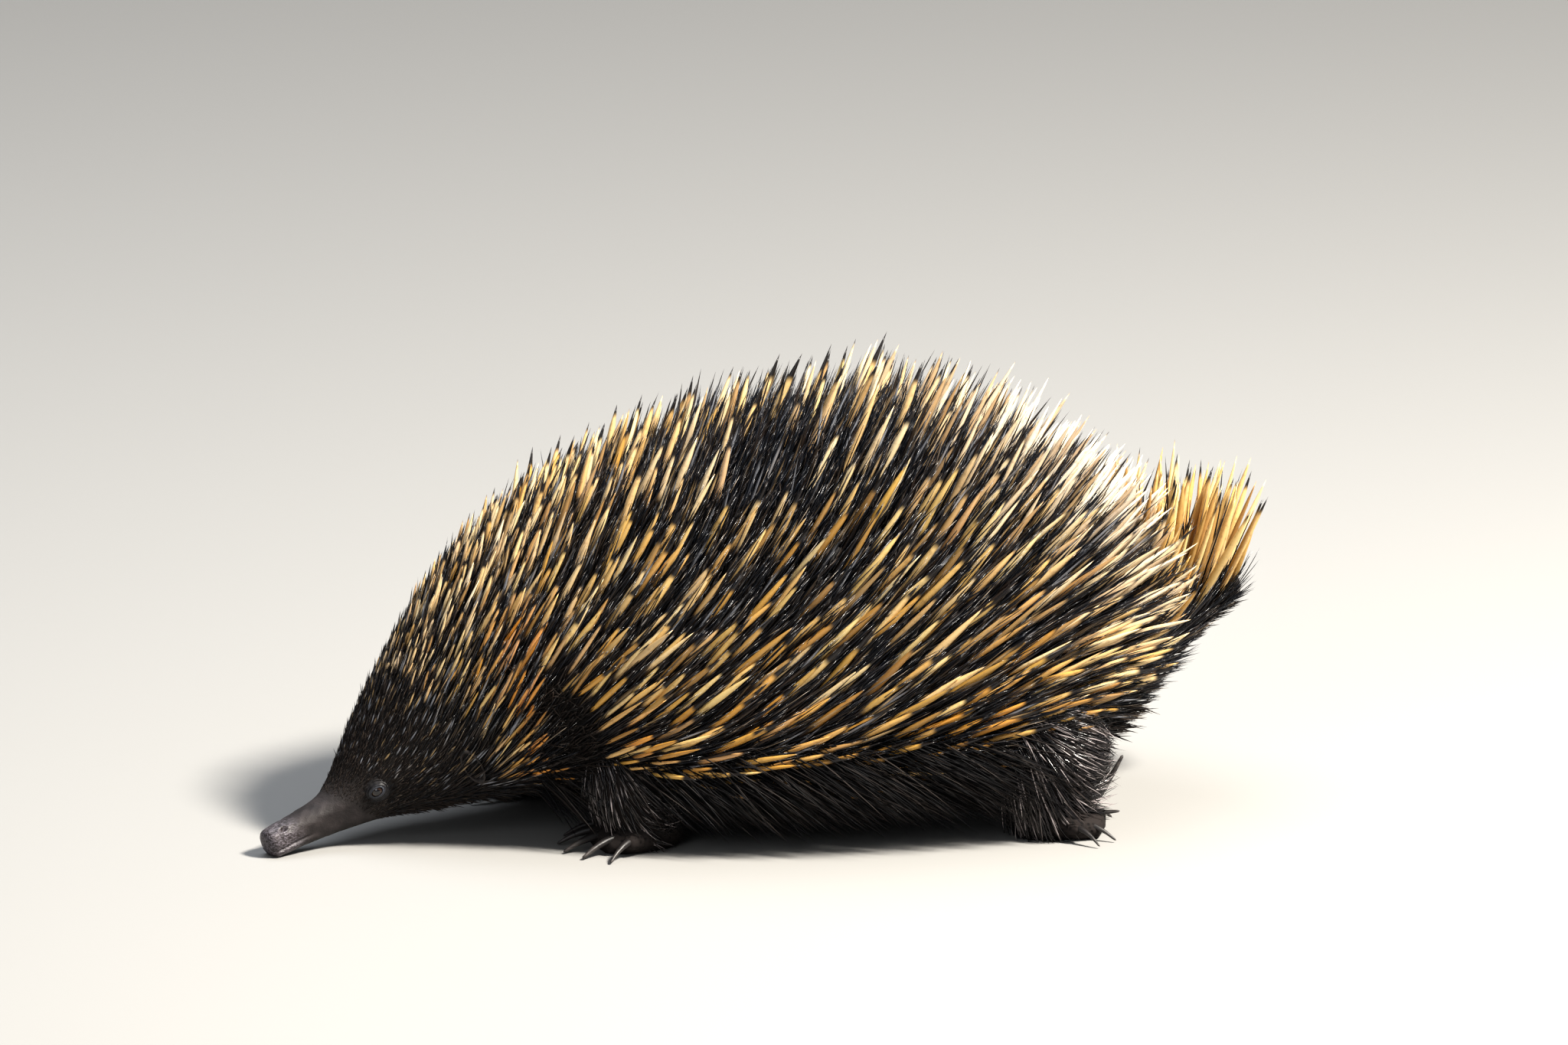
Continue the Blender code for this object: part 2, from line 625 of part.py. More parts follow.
class Thicket:
    """The spines and locks set so far, and the room that is left among them."""

    def __init__(self, solids):
        bpy.context.view_layer.update()
        graph = bpy.context.evaluated_depsgraph_get()
        self.trees = {obj.name: BVHTree.FromObject(obj, graph) for obj in solids}
        self.starts, self.ends, self.radii = [], [], []

    def clear(self, node, root, tip, radius, bow=0.0):
        """Whether a spine from root to tip keeps its gap to all others, to the other nodes and the floor."""
        if min(root[2], tip[2]) < radius + 1 * MM:
            return False
        if self.starts:
            room = segment_distances(root, tip, np.array(self.starts), np.array(self.ends))
            if (room < np.array(self.radii) + radius + GAP).any():
                return False
        share = np.linspace(0, 1, 15)[:, None]
        points = root + (tip - root) * share
        for name, tree in self.trees.items():
            for k, point in enumerate(points):
                apart = tree.find_nearest(Vector(point))[3]
                if name != node and apart < radius + bow + 1.5 * GAP:
                    return False
                if name == node and k > len(points) / 2 and apart < radius:
                    return False
        return True

    def add(self, root, tip, radius):
        self.starts.append(root)
        self.ends.append(tip)
        self.radii.append(radius)


def inside_cuts(node, root, radius):
    """Whether a sunk root stays off the flat cut ends of its node."""
    start, end, _, _ = LENGTHS[node]
    middle, back, _, _, _ = body_frames([start, end])
    room = radius + 2 * GAP
    return (root - middle[0]).dot(back[0]) > room and (middle[1] - root).dot(back[1]) > room


def plant_spines(node, thicket, draw):
    """Root, tip and radius of every spine that fits on a node."""
    spacing = FIELDS[node][0] * MM
    for u, turn in field_spots(node):
        for attempt in range(SPINE_TRIES):
            stir = SPINE_STIR * spacing * min(1.0, 0.4 + 0.15 * attempt)
            at = u + draw.normal() * stir
            swing = turn + draw.normal() * stir / body_frames(at)[4][0, 2]
            if in_hollow(at, swing):
                continue
            here, out, _ = surface_frame(at, swing)
            way = nudged(spine_way(at, swing, out), draw, SPINE_JITTER)
            full = body_frames(at)[4][0, 3]
            low = np.interp(abs(math.degrees(swing)), SKIRT_TURNS, (1.0, SKIRT_SHARE))
            length = full * low * draw.uniform(*SPINE_LENGTHS)
            stout = min(1.0, SPINE_SHORT[0] + full / (SPINE_SHORT[1] * MM))
            radius = SPINE_THICKNESS * MM * low * stout * draw.uniform(0.85, 1.05)
            rise = way.dot(out)
            if rise < SPINE_LEAST_RISE * 0.8:
                continue
            root = here - way * (radius * math.sqrt(1 - rise**2) + 0.9 * MM) / rise
            tip = body_points(at, swing, coat=0.0)[0] + way * length
            if inside_cuts(node, root, radius) and thicket.clear(node, root, tip, radius):
                thicket.add(root, tip, radius)
                yield root, tip, radius
                break


def pointed(name, rings, tip, collection):
    """Closed piece through rings of four points that ends in a point."""
    points = np.concatenate([*rings, [tip]])
    faces = [(3, 2, 1, 0)]
    for start in range(0, 4 * (len(rings) - 1), 4):
        faces += [(start + j, start + (j + 1) % 4, start + 4 + (j + 1) % 4, start + 4 + j) for j in range(4)]
    top = 4 * len(rings) - 4
    faces += [(top + j, top + (j + 1) % 4, top + 4) for j in range(4)]
    mesh = bpy.data.meshes.new(name)
    mesh.from_pydata(points.tolist(), [], faces)
    face_out(mesh)
    return mesh_object(name, mesh, collection)


def spine(root, tip, radius, roll, collection):
    """A four-sided spine that tapers to its point."""
    along = tip - root
    over = np.cross(along, (math.cos(roll), math.sin(roll), 0.3))
    low = ring(root, along, over, radius * 0.85, radius * 0.85, 4)
    high = ring(root + along * SPINE_BELLY, along, over, radius, radius, 4)
    return pointed("spine", [low, high], tip, collection)


def lock(root, tip, out, wide, thick, collection):
    """A flat lock of bristles that bends over towards its tip."""
    along = tip - root
    droop = -out * np.linalg.norm(along) * LOCK_BEND
    rings = []
    for share, size in ((0.0, 0.8), (0.4, 1.0), (0.75, 0.7)):
        middle = root + along * share - droop * share * (1 - share)
        rings.append(ring(middle, along, out, wide * size, thick * size, 4))
    return pointed("lock", rings, tip, collection)


def plant_locks(name, leg, thicket, draw):
    """Root, tip and outward way of every lock that fits on a leg."""
    side, x, y, _, _ = FEET[name]
    count, heights, length, wide, _ = LOCKS[name.split("_")[0]]
    axis = np.array([x, -SIDES[side] * y, 0.0]) * MM
    tree = thicket.trees[leg.name]
    for row, height in enumerate(heights):
        for k in range(count):
            a = (k + 0.5 * (row % 2) + draw.uniform(-0.15, 0.15)) * 2 * math.pi / count
            away = np.array([math.cos(a), math.sin(a), 0.0])
            start = axis + away * 80 * MM + (0, 0, height * MM)
            here, out, _, _ = tree.ray_cast(Vector(start), Vector(-away))
            if here is None or abs(out.z) > 0.8:
                continue
            here, out = np.array(here), np.array(out)
            way = LOCK_LIE[0] * np.array([1.0, 0, 0]) + LOCK_LIE[1] * np.array([0, 0, 1.0])
            way = way - out * way.dot(out) + out * LOCK_LIE[2]
            way /= np.linalg.norm(way)
            rise = way.dot(out)
            root = here - way * 1.6 * MM / rise
            tip = here + way * length * draw.uniform(0.85, 1.15) * MM
            bow = LOCK_BEND / 4 * np.linalg.norm(tip - root) + 0.4 * wide * MM
            if thicket.clear(leg.name, root, tip, wide * 0.6 * MM, bow):
                thicket.add(root, tip, wide * 0.6 * MM)
                yield root, tip, out


def grow_coat(echidna):
    """Plants and fuses the spines and locks of every node that carries them."""
    draw = np.random.default_rng(SEED)
    thicket = Thicket(echidna.objects)
    for node in FIELDS:
        spines = new_collection(f"{node} spines")
        for root, tip, radius in plant_spines(node, thicket, draw):
            spine(root, tip, radius, draw.uniform(0, math.pi), spines)
        bool_with(bpy.data.objects[node], "UNION", spines)
    for name in FEET:
        leg, locks = bpy.data.objects[f"leg_{name}"], new_collection(f"{name} locks")
        _, _, _, wide, thick = LOCKS[name.split("_")[0]]
        for root, tip, out in plant_locks(name, leg, thicket, draw):
            lock(root, tip, out, wide * MM, thick * MM, locks)
        bool_with(leg, "UNION", locks)


def build():
    clear_scene()
    echidna = new_collection("echidna")
    looks = {name: material(name, *values) for name, values in LOOKS.items()}
    body_length("torso", "torso", echidna, looks["quill"])
    body_length("neck", "neck", echidna, looks["quill"])
    body_length("tail", "tail", echidna, looks["quill"], nose=5 * MM)
    make_head(echidna, looks)
    make_beak(echidna, looks)
    for name in FEET:
        make_leg(name, echidna, looks)
        make_foot(name, echidna, looks)
    grow_coat(echidna)


build()
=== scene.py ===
# %% [markdown]
# # A short-beaked echidna, spine by spine
#
# An echidna is a low, rounded animal with a bare beak, short strong legs and a coat of three layers: woolly dark
# fur, long thin black bristles and, over them, stout golden spines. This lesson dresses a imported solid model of
# one. The skin is a single surface worked out from sixteen girths. Every hair and spine is a closed tapering
# mesh, and numpy computes thousands of them at once, because particle hair would be lost on export.

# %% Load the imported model
import math

import bpy
import numpy as np
from mathutils import Matrix, Vector


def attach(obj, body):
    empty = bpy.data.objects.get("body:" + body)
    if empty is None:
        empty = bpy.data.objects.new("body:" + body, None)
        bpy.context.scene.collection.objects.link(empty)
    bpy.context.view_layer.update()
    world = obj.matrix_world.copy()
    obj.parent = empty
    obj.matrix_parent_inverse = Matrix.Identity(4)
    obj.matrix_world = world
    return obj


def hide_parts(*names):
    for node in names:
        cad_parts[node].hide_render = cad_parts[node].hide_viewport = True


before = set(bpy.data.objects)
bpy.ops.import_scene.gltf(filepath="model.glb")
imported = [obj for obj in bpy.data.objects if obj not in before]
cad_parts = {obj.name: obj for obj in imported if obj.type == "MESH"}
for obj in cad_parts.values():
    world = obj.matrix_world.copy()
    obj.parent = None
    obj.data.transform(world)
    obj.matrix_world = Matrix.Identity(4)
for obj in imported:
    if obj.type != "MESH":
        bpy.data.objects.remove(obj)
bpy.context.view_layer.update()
MM = 0.001
DOWN = np.array([0, 0, -1.0])
SIDES = (("left", 1), ("right", -1))
draw = np.random.default_rng(1794)

# %% [markdown]
# ## Camera and light
#
# The animal is seen through a long lens from a little above its back, 14 degrees ahead of square to its left
# side. A 600 mm lens eleven metres away gives that flat perspective. The picture's middle isn't the animal's
# middle, so the camera is aimed at the point of the scene that the middle shows.

# %% Camera
AZIMUTH, ELEVATION = math.radians(-14), math.radians(14)
DISTANCE, LENS, SENSOR = 11.4, 600, 36
PICTURE = (2048, 1365)
PIXELS_PER_METRE = 3000
ORIGIN_PIXEL = (992.4, 1057.7)

right = Vector((math.cos(AZIMUTH), math.sin(AZIMUTH), 0))
level = math.cos(ELEVATION)
toward = Vector((math.sin(AZIMUTH) * level, -math.cos(AZIMUTH) * level, math.sin(ELEVATION)))
over = toward.cross(right)
aim = right * ((PICTURE[0] / 2 - ORIGIN_PIXEL[0]) / PIXELS_PER_METRE)
aim += over * ((ORIGIN_PIXEL[1] - PICTURE[1] / 2) / PIXELS_PER_METRE)
eye_point = aim + toward * DISTANCE
view = bpy.data.cameras.new("view")
view.lens, view.sensor_width, view.sensor_fit = LENS, SENSOR, "HORIZONTAL"
camera = bpy.data.objects.new("view", view)
camera.matrix_world = Matrix([[right[i], over[i], toward[i], eye_point[i]] for i in range(3)] + [[0, 0, 0, 1]])
bpy.context.scene.collection.objects.link(camera)
bpy.context.scene.camera = camera
print("camera", round(eye_point.z, 3), "m above the floor")

# %% [markdown]
# A lamp high behind the animal, towards its tail, whitens the spines of its rear back as the sun does, and a
# painted highlight in those spines' colour adds to it. A broad dim lamp overhead stands for the sky, and a weak
# one on the camera's side lets the dark face and legs be read.

# %% Lamps and world
LAMPS = {  # place in metres, width in metres, watts, colour
    "sun_side": ((1.15, -1.05, 1.95), 0.40, 175, (1.0, 0.95, 0.87)),
    "sky": ((-0.3, 0.6, 2.3), 1.8, 34, (0.86, 0.92, 1.0)),
    "camera_side": ((-1.5, -2.0, 1.2), 1.2, 11, (0.93, 0.96, 1.0)),
}
LIT_POINT = Vector((0, 0, 0.08))

for name, (spot, width, watts, colour) in LAMPS.items():
    light = bpy.data.lights.new(name, "AREA")
    light.size, light.energy, light.color = width, watts, colour
    lamp = bpy.data.objects.new(name, light)
    lamp.location = spot
    lamp.rotation_euler = (LIT_POINT - lamp.location).to_track_quat("-Z", "Y").to_euler()
    bpy.context.scene.collection.objects.link(lamp)
world = bpy.data.worlds.new("studio")
world.use_nodes = True
world.node_tree.nodes["Background"].inputs["Color"].default_value = (0.86, 0.88, 0.92, 1)
world.node_tree.nodes["Background"].inputs["Strength"].default_value = 0.24
bpy.context.scene.world = world
bpy.context.scene.view_settings.view_transform = "Standard"
bpy.context.scene.view_settings.look = "Medium High Contrast"
print("lamps:", len(LAMPS))

# %% [markdown]
# ## Shader sums
#
# A material's recipe reads best as arithmetic. `Flow` wraps one value on its way through the shader, and adding
# or multiplying it adds a Math node. `Look` holds one material: `add` makes any other node, `paint` mixes two
# colours, and `finish` plugs the results into the Principled shader.


# %% Flow and Look
class Flow:
    """One value on its way through a shader; arithmetic on it adds Math nodes."""

    def __init__(self, look, socket):
        self.look, self.socket = look, socket

    def math(self, operation, *values):
        return self.look.add("ShaderNodeMath", {"operation": operation}, *values)

    def __add__(self, other):
        return self.math("ADD", self, other)

    def __sub__(self, other):
        return self.math("SUBTRACT", self, other)

    def __rsub__(self, other):
        return self.math("SUBTRACT", other, self)

    def __mul__(self, other):
        return self.math("MULTIPLY", self, other)

    __radd__, __rmul__ = __add__, __mul__

    def between(self, low, high):
        """0 below low, 1 above high, and a smooth step from one to the other."""
        settings = {"interpolation_type": "SMOOTHSTEP", "clamp": True}
        return self.look.add("ShaderNodeMapRange", settings, self, low, high, 0.0, 1.0)


class Look:
    """A material in the making."""

    def __init__(self, name):
        self.material = bpy.data.materials.new(name)
        self.material.use_nodes = True
        self.tree = self.material.node_tree

    def put(self, socket, value):
        if isinstance(value, Flow):
            self.tree.links.new(value.socket, socket)
        elif isinstance(value, tuple) and len(value) == 3 and len(socket.default_value) == 4:
            socket.default_value = (*value, 1.0)
        else:
            socket.default_value = value

    def add(self, kind, settings, *values, out=0, **named):
        """Any node: its type, its settings, the values of its sockets in order or by name, and its output."""
        node = self.tree.nodes.new(kind)
        for key, value in settings.items():
            setattr(node, key, value)
        for socket, value in zip(node.inputs, values):
            self.put(socket, value)
        for key, value in named.items():
            self.put(node.inputs[key.title()], value)
        return Flow(self, node.outputs[out])

    def value(self, name):
        """A number that the mesh carries at each of its points."""
        return self.add("ShaderNodeAttribute", {"attribute_name": name}, out="Fac")

    def noise(self, scale, detail=3.0, stretch=None):
        """Cloudy pattern on the object's own coordinates, scale in cycles to the metre."""
        place = self.add("ShaderNodeTexCoord", {}, out="Object")
        if stretch:
            place = self.add("ShaderNodeMapping", {}, place, scale=stretch)
        return self.add("ShaderNodeTexNoise", {}, vector=place, scale=scale, detail=detail, roughness=0.55)

    def cells(self, scale):
        """Distance from the middles of small irregular cells."""
        place = self.add("ShaderNodeTexCoord", {}, out="Object")
        return self.add("ShaderNodeTexVoronoi", {}, vector=place, scale=scale)

    def paint(self, first, second, share):
        """The first colour where the share is 0, the second where it is 1."""
        node = self.tree.nodes.new("ShaderNodeMix")
        node.data_type = "RGBA"
        for socket, value in zip((node.inputs[0], *node.inputs[6:8]), (share, first, second)):
            self.put(socket, value)
        return Flow(self, node.outputs[2])

    def bump(self, height, distance, strength):
        return self.add("ShaderNodeBump", {}, strength=strength, distance=distance, height=height)

    def finish(self, **sockets):
        for key, value in sockets.items():
            self.put(self.tree.nodes["Principled BSDF"].inputs[key.replace("_", " ")], value)
        return self.material


# %% [markdown]
# ## Meshes from arrays
#
# Every piece is computed as whole arrays: corner points, four-sided faces and three-sided faces. `foreach_set`
# puts them into the mesh in one go, which stays quick for a hundred thousand faces. Most shapes are a grid that
# closes round each row, with a point at either end, so one helper lists the faces of all of them.


# %% From arrays to a mesh
def make_piece(name, points, quads, tris, finish, slot, nodes=(), values=None, patches=None):
    """A mesh object at the origin that rides on the body, with point values and an OFBake map if given."""
    points, quads, tris = np.reshape(points, (-1, 3)), np.reshape(quads, (-1, 4)), np.reshape(tris, (-1, 3))
    corners = np.concatenate([quads.ravel(), tris.ravel()]).astype(np.int32)
    sizes = np.concatenate([np.full(len(quads), 4), np.full(len(tris), 3)])
    starts = np.concatenate([[0], np.cumsum(sizes)[:-1]])
    mesh = bpy.data.meshes.new(name)
    mesh.vertices.add(len(points))
    mesh.vertices.foreach_set("co", points.astype(np.float32).ravel())
    mesh.loops.add(len(corners))
    mesh.loops.foreach_set("vertex_index", corners)
    mesh.polygons.add(len(sizes))
    mesh.polygons.foreach_set("loop_start", starts.astype(np.int32))
    mesh.update(calc_edges=True)
    mesh.polygons.foreach_set("use_smooth", np.ones(len(sizes), bool))
    for key, value in (values or {}).items():
        mesh.attributes.new(key, "FLOAT", "POINT").data.foreach_set("value", np.asarray(value, np.float32))
    if patches is not None:
        layer = mesh.uv_layers.new(name="OFBake")
        layer.data.foreach_set("uv", np.reshape(patches, (-1, 2)).astype(np.float32)[corners].ravel())
    mesh.validate()
    mesh.materials.append(finish)
    piece = bpy.data.objects.new(name, mesh)
    bpy.context.scene.collection.objects.link(piece)
    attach(piece, "root")
    for node in nodes:
        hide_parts(node)
    print(name, "triangles:", 2 * len(quads) + len(tris))


def closed_faces(rows, around, flip=False):
    """Faces of a grid whose rows are closed rings: quads between the rings, and a fan from each end ring to its
    pole. The two poles' points follow the grid's. Flip turns every face over."""
    i, j = np.meshgrid(np.arange(rows - 1), np.arange(around), indexing="ij")
    here, there, k = i * around, (i + 1) * around, (j + 1) % around
    quads = np.stack([here + j, here + k, there + k, there + j], -1).reshape(-1, 4)
    j, k = j[0], k[0]
    pole, rim = np.full(around, rows * around), (rows - 1) * around
    tris = np.concatenate([np.stack([pole, k, j], -1), np.stack([pole + 1, rim + j, rim + k], -1)])
    return (quads[:, ::-1], tris[:, ::-1]) if flip else (quads, tris)


def ring(count):
    """Turns of so many points spaced evenly round a circle."""
    return np.arange(count) * 2 * np.pi / count


# %% [markdown]
# ## The body's form
#
# A tape measure round the animal at sixteen places gives its form. Each girth is the middle of a section, how
# far the body reaches above, below and beside it, and how long the spines are there. A smooth cubic joins the
# girths, and each section is a superellipse, a little squarer than an ellipse at the sides.

# %% Girths
GIRTHS = {  # middle x, y, z, reach above, below, beside, spine length; millimetres
    "beak tip": (-225, -27.0, 6.2, 6.1, 6.9, 6.3, 0),
    "beak middle": (-211, -22.0, 12.0, 5.6, 8.8, 7.2, 0),
    "beak root": (-197, -17.0, 17.5, 6.5, 11.2, 9.2, 0),
    "eyes": (-181, -11.5, 24.5, 16.0, 14.5, 17.5, 5),
    "skull": (-164, -7.0, 34.5, 26.5, 23.5, 28.0, 12),
    "ears": (-144, -3.5, 48.0, 36.0, 35.0, 39.0, 18),
    "nape": (-119, -1.0, 62.0, 48.5, 45.0, 51.0, 24),
    "shoulders": (-84, 0.0, 75.0, 59.0, 58.0, 66.0, 34),
    "ribs": (-38, 0.0, 82.0, 69.0, 69.0, 77.0, 41),
    "middle": (12, 0.0, 84.5, 76.0, 71.0, 82.0, 46),
    "loins": (62, 0.0, 82.0, 73.0, 66.0, 82.0, 49),
    "hips": (108, 0.0, 74.0, 58.0, 52.0, 73.0, 48),
    "rump": (142, 0.0, 68.0, 41.0, 34.0, 52.0, 47),
    "tail root": (164, 0.0, 70.0, 28.0, 17.0, 28.0, 54),
    "tail middle": (187, 0.0, 79.5, 18.0, 11.0, 15.0, 57),
    "tail tip": (211, 0.0, 89.0, 7.5, 6.5, 7.0, 51),
}
SIDE_FULLNESS, LOW_SIDE_FULLNESS, BELLY_FULLNESS = 0.86, 0.72, 0.60
NAMES = list(GIRTHS)
TAPE = np.array(list(GIRTHS.values()), float) * MM
PLACES = np.concatenate([[0.0], np.cumsum(np.linalg.norm(np.diff(TAPE[:, :3], axis=0), axis=1))])
print("beak tip to tail tip along the middle:", round(PLACES[-1], 3), "m")


def place(name, share=0.0):
    """Distance from the beak tip of a named girth, or of a point a share of the way to the next one."""
    a, b = PLACES[NAMES.index(name) :][:2]
    return a + (b - a) * share


# %% Section by section
def smooth_through(knots, values, at):
    """Cubic curve through the values at the knots, its slope at each knot taken from both neighbours."""
    slopes = np.gradient(values, knots, axis=0)
    i = np.clip(np.searchsorted(knots, at, side="right") - 1, 0, len(knots) - 2)
    span = (knots[i + 1] - knots[i])[:, None]
    t = (at[:, None] - knots[i][:, None]) / span
    return (
        values[i] * (1 + 2 * t) * (1 - t) ** 2
        + values[i + 1] * t * t * (3 - 2 * t)
        + slopes[i] * span * t * (1 - t) ** 2
        + slopes[i + 1] * span * t * t * (t - 1)
    )


def unit(v):
    return v / np.maximum(np.linalg.norm(v, axis=-1, keepdims=True), 1e-12)


def body_frames(u):
    """At distances u: the middle, the ways back, up and left, and the reaches and spine length."""
    here = smooth_through(PLACES, TAPE, u)
    step = 0.5 * MM
    ahead = smooth_through(PLACES, TAPE, np.maximum(u - step, 0))[:, :3]
    behind = smooth_through(PLACES, TAPE, np.minimum(u + step, PLACES[-1]))[:, :3]
    back = unit(behind - ahead)
    up = unit(-DOWN - back * back[:, 2:3])
    return here[:, :3], back, up, np.cross(back, up), here[:, 3:]


def body_skin(u, turn):
    """Point of the bare body at distance u and a turn from the line of the back, radians, left positive.

    Side reach follows sin(turn), height follows cos(turn), each raised to a power under one, which squares
    the section off. The turn goes round in every row, so the skin closes on itself."""
    u, turn = np.broadcast_arrays(u, turn)
    shape = u.shape
    middle, _, up, left, sizes = body_frames(u.ravel())
    rise, side = np.cos(turn.ravel()), np.sin(turn.ravel())
    upper = rise > 0
    tall = np.where(upper, sizes[:, 0], sizes[:, 1]) * np.sign(rise)
    tall = tall * np.abs(rise) ** np.where(upper, 1.0, BELLY_FULLNESS)
    wide = sizes[:, 2] * np.sign(side) * np.abs(side) ** np.where(upper, SIDE_FULLNESS, LOW_SIDE_FULLNESS)
    return (middle + up * tall[:, None] + left * wide[:, None]).reshape(*shape, 3)


def surface_frames(skin, s, t):
    """Points of a surface with their outward normals and the unit ways along it."""
    ds, dt = 0.4 * MM, 0.006
    along = unit(skin(s + ds, t) - skin(s - ds, t))
    across = unit(skin(s, t + dt) - skin(s, t - dt))
    return skin(s, t), unit(np.cross(across, along)), along


# %% [markdown]
# ## Spreading roots evenly
#
# Hairs grow evenly, neither in rows nor at random. A golden sequence of number pairs is even in the unit square,
# and pushing it through the running totals of surface area times wanted density makes it even on the animal.

# %% Even spots on any surface
GOLDEN = (0.7548776662, 0.5698402910)  # steps of the even sequence along and across the square


def spread(skin, s_ends, t_ends, spacing, shuffle):
    """Spots over a surface, about spacing(s, t) metres apart, as their two coordinates."""
    rows, columns = 260, 220
    s, t = np.linspace(*s_ends, rows), np.linspace(*t_ends, columns)
    grid = skin(s[:, None], t[None, :])
    along, across = np.gradient(grid, s, axis=0), np.gradient(grid, t, axis=1)
    gaps = spacing(s[:, None], t[None, :]) * np.ones((rows, columns))
    crowd = np.linalg.norm(np.cross(along, across), axis=2) / gaps**2
    cell = (s[1] - s[0]) * (t[1] - t[0])
    count = int(crowd.sum() * cell)
    first, second = ((0.5 + np.arange(count) * step) % 1 for step in GOLDEN)
    by_row = np.concatenate([[0], np.cumsum(crowd.sum(1))[:-1] + crowd.sum(1)[1:] / 2])
    spot_s = np.interp(first, by_row / by_row[-1], s)
    totals = np.cumsum(crowd, axis=1)
    totals /= totals[:, -1:]
    lines = totals[np.clip(np.round((spot_s - s[0]) / (s[1] - s[0])).astype(int), 0, rows - 1)]
    column = np.minimum((lines < second[:, None]).sum(1), columns - 1)
    low = np.where(column > 0, lines[np.arange(count), column - 1], 0)
    high = lines[np.arange(count), column]
    share = (second - low) / np.maximum(high - low, 1e-9)
    spot_t = t[0] + (column - 0.5 + share) * (t[1] - t[0])
    wide = np.interp(spot_s, s, np.linalg.norm(across, axis=2).mean(1))
    local = spacing(spot_s, spot_t)
    spot_s = np.clip(spot_s + draw.normal(size=count) * shuffle * local, *s_ends)
    spot_t = np.clip(spot_t + draw.normal(size=count) * shuffle * local / wide, *t_ends)
    return spot_s, spot_t


# %% [markdown]
# ## Strands
#
# A spine, a bristle and a tuft of fur are one shape with different numbers: a spindle that starts in a point
# inside the skin, swells, bends by a parabola, and tapers to its tip. Hairs have rings of three points, thin
# quills four and spines eight. A strand's patch on the OFBake map is a small square at its root's place on the
# skin's own unwrap, so that a bake keeps the colours of one strand together.

# %% Spindles from roots
PATCH = 0.003
PIECE_LIMIT = 190000  # triangles


def strands(roots, ways, lengths, widths, bends, profile, sides, unwrap, lowest=-math.inf):
    """Points, faces, share along and OFBake corners of many closed tapering strands.

    The centre at share s is root + way × length × s + bend × s², and the ring there has the radius
    width × profile(s). Each strand is spun by a turn of its own. No point is under the lowest height."""
    shares, sizes = (np.array(column, float) for column in zip(*profile))
    count, rings = len(roots), len(shares)
    centres = roots[:, None] + ways[:, None] * (lengths[:, None] * shares)[..., None]
    centres = centres + bends[:, None] * (shares**2)[:, None]
    side = unit(np.cross(ways, np.where(np.abs(ways[:, 2:3]) < 0.9, [[0, 0, 1.0]], [[1.0, 0, 0]])))
    other = np.cross(ways, side)
    a = ring(sides) + draw.uniform(0, 2 * np.pi, count)[:, None]
    circle = np.cos(a)[..., None] * side[:, None] + np.sin(a)[..., None] * other[:, None]
    body = centres[:, :, None] + circle[:, None] * (widths[:, None] * sizes)[:, :, None, None]
    poles = np.stack([roots, roots + ways * lengths[:, None] + bends], 1)
    points = np.concatenate([body.reshape(count, -1, 3), poles], 1)
    points[..., 2] = np.maximum(points[..., 2], lowest)
    start = np.arange(count)[:, None, None] * points.shape[1]
    quads, tris = (faces + start for faces in closed_faces(rings, sides))
    along = np.concatenate([np.repeat(shares, sides), [0, 1]])
    aside = np.concatenate([np.tile((np.arange(sides) + 0.5) / sides, rings), [0.5, 0.5]])
    patches = unwrap[:, None] * (1 - PATCH) + PATCH * np.stack([along, aside], 1)
    return points, quads, tris, along, patches


def make_strands(name, grown, tones, finish, slot):
    """Pieces of at most about the limit's triangles each, cut between strands, with values for each strand."""
    points, quads, tris, along, patches = grown
    count, each = points.shape[:2]
    parts = math.ceil((2 * quads.shape[1] + tris.shape[1]) * count / PIECE_LIMIT)
    for part, kept in enumerate(np.array_split(np.arange(count), parts)):
        title = name if parts == 1 else f"{name}_{part + 1}"
        values = {"along": np.tile(along, len(kept))}
        values |= {key: np.repeat(value[kept], each) for key, value in tones.items()}
        faces = quads[: len(kept)], tris[: len(kept)]
        make_piece(title, points[kept], *faces, finish, slot, (), values, patches[kept])


# %% [markdown]
# ## The lie of the coat
#
# Spines don't stand square to the skin. They rise steeply from the head and the shoulders' ridge, lean back more
# and more towards the rump, and lie nearly level low on the flank, where they fan out from the bare hollow
# behind the cheek. On the stubby tail they stand up again like a fan. One table holds the coat from the eyes to
# the tail: its last column is the spines' angle above level at six turns round the body.

# %% Coat and lie
RISE_TURNS = (0, 45, 90, 112, 132, 152)
SPLAY = (0.0, 0.26, 0.38, 0.42, 0.44, 0.44)  # outward part of a spine's way at each turn
COAT = {  # gap between spines, their radius and gap between bristles in millimetres, spines' rises in degrees
    "eyes": (6.0, 0.20, 2.4, (70, 62, 40, 30, 10, 0)),
    "skull": (5.6, 0.34, 2.2, (72, 66, 54, 44, 20, 0)),
    "ears": (5.2, 0.62, 2.3, (73, 71, 68, 58, 26, 0)),
    "nape": (6.0, 0.98, 2.6, (72, 71, 64, 46, 14, -12)),
    "shoulders": (8.2, 1.42, 2.9, (72, 69, 50, 36, 8, -20)),
    "ribs": (10.8, 1.6, 3.1, (72, 69, 51, 37, 12, -16)),
    "middle": (11.8, 1.65, 3.2, (71, 69, 51, 37, 14, -8)),
    "loins": (10.2, 1.6, 3.1, (65, 63, 46, 31, 15, 0)),
    "hips": (8.4, 1.5, 3.0, (56, 51, 28, 18, 10, 4)),
    "rump": (6.9, 1.45, 2.9, (45, 36, 14, 6, 0, -8)),
    "tail root": (6.8, 1.9, 2.6, (84, 80, 66, 36, 20, 10)),
    "tail middle": (6.4, 1.85, 2.3, (83, 80, 74, 44, 36, 30)),
    "tail tip": (5.6, 1.6, 2.0, (74, 72, 72, 48, 40, 36)),
}


def columns(table):
    """One table by place for each column of a table by place."""
    return [dict(zip(table, column)) for column in zip(*table.values())]


def by_place(table, u):
    """Value between the named girths' own, for a table of numbers by name."""
    return np.interp(u, [PLACES[NAMES.index(name)] for name in table], list(table.values()))


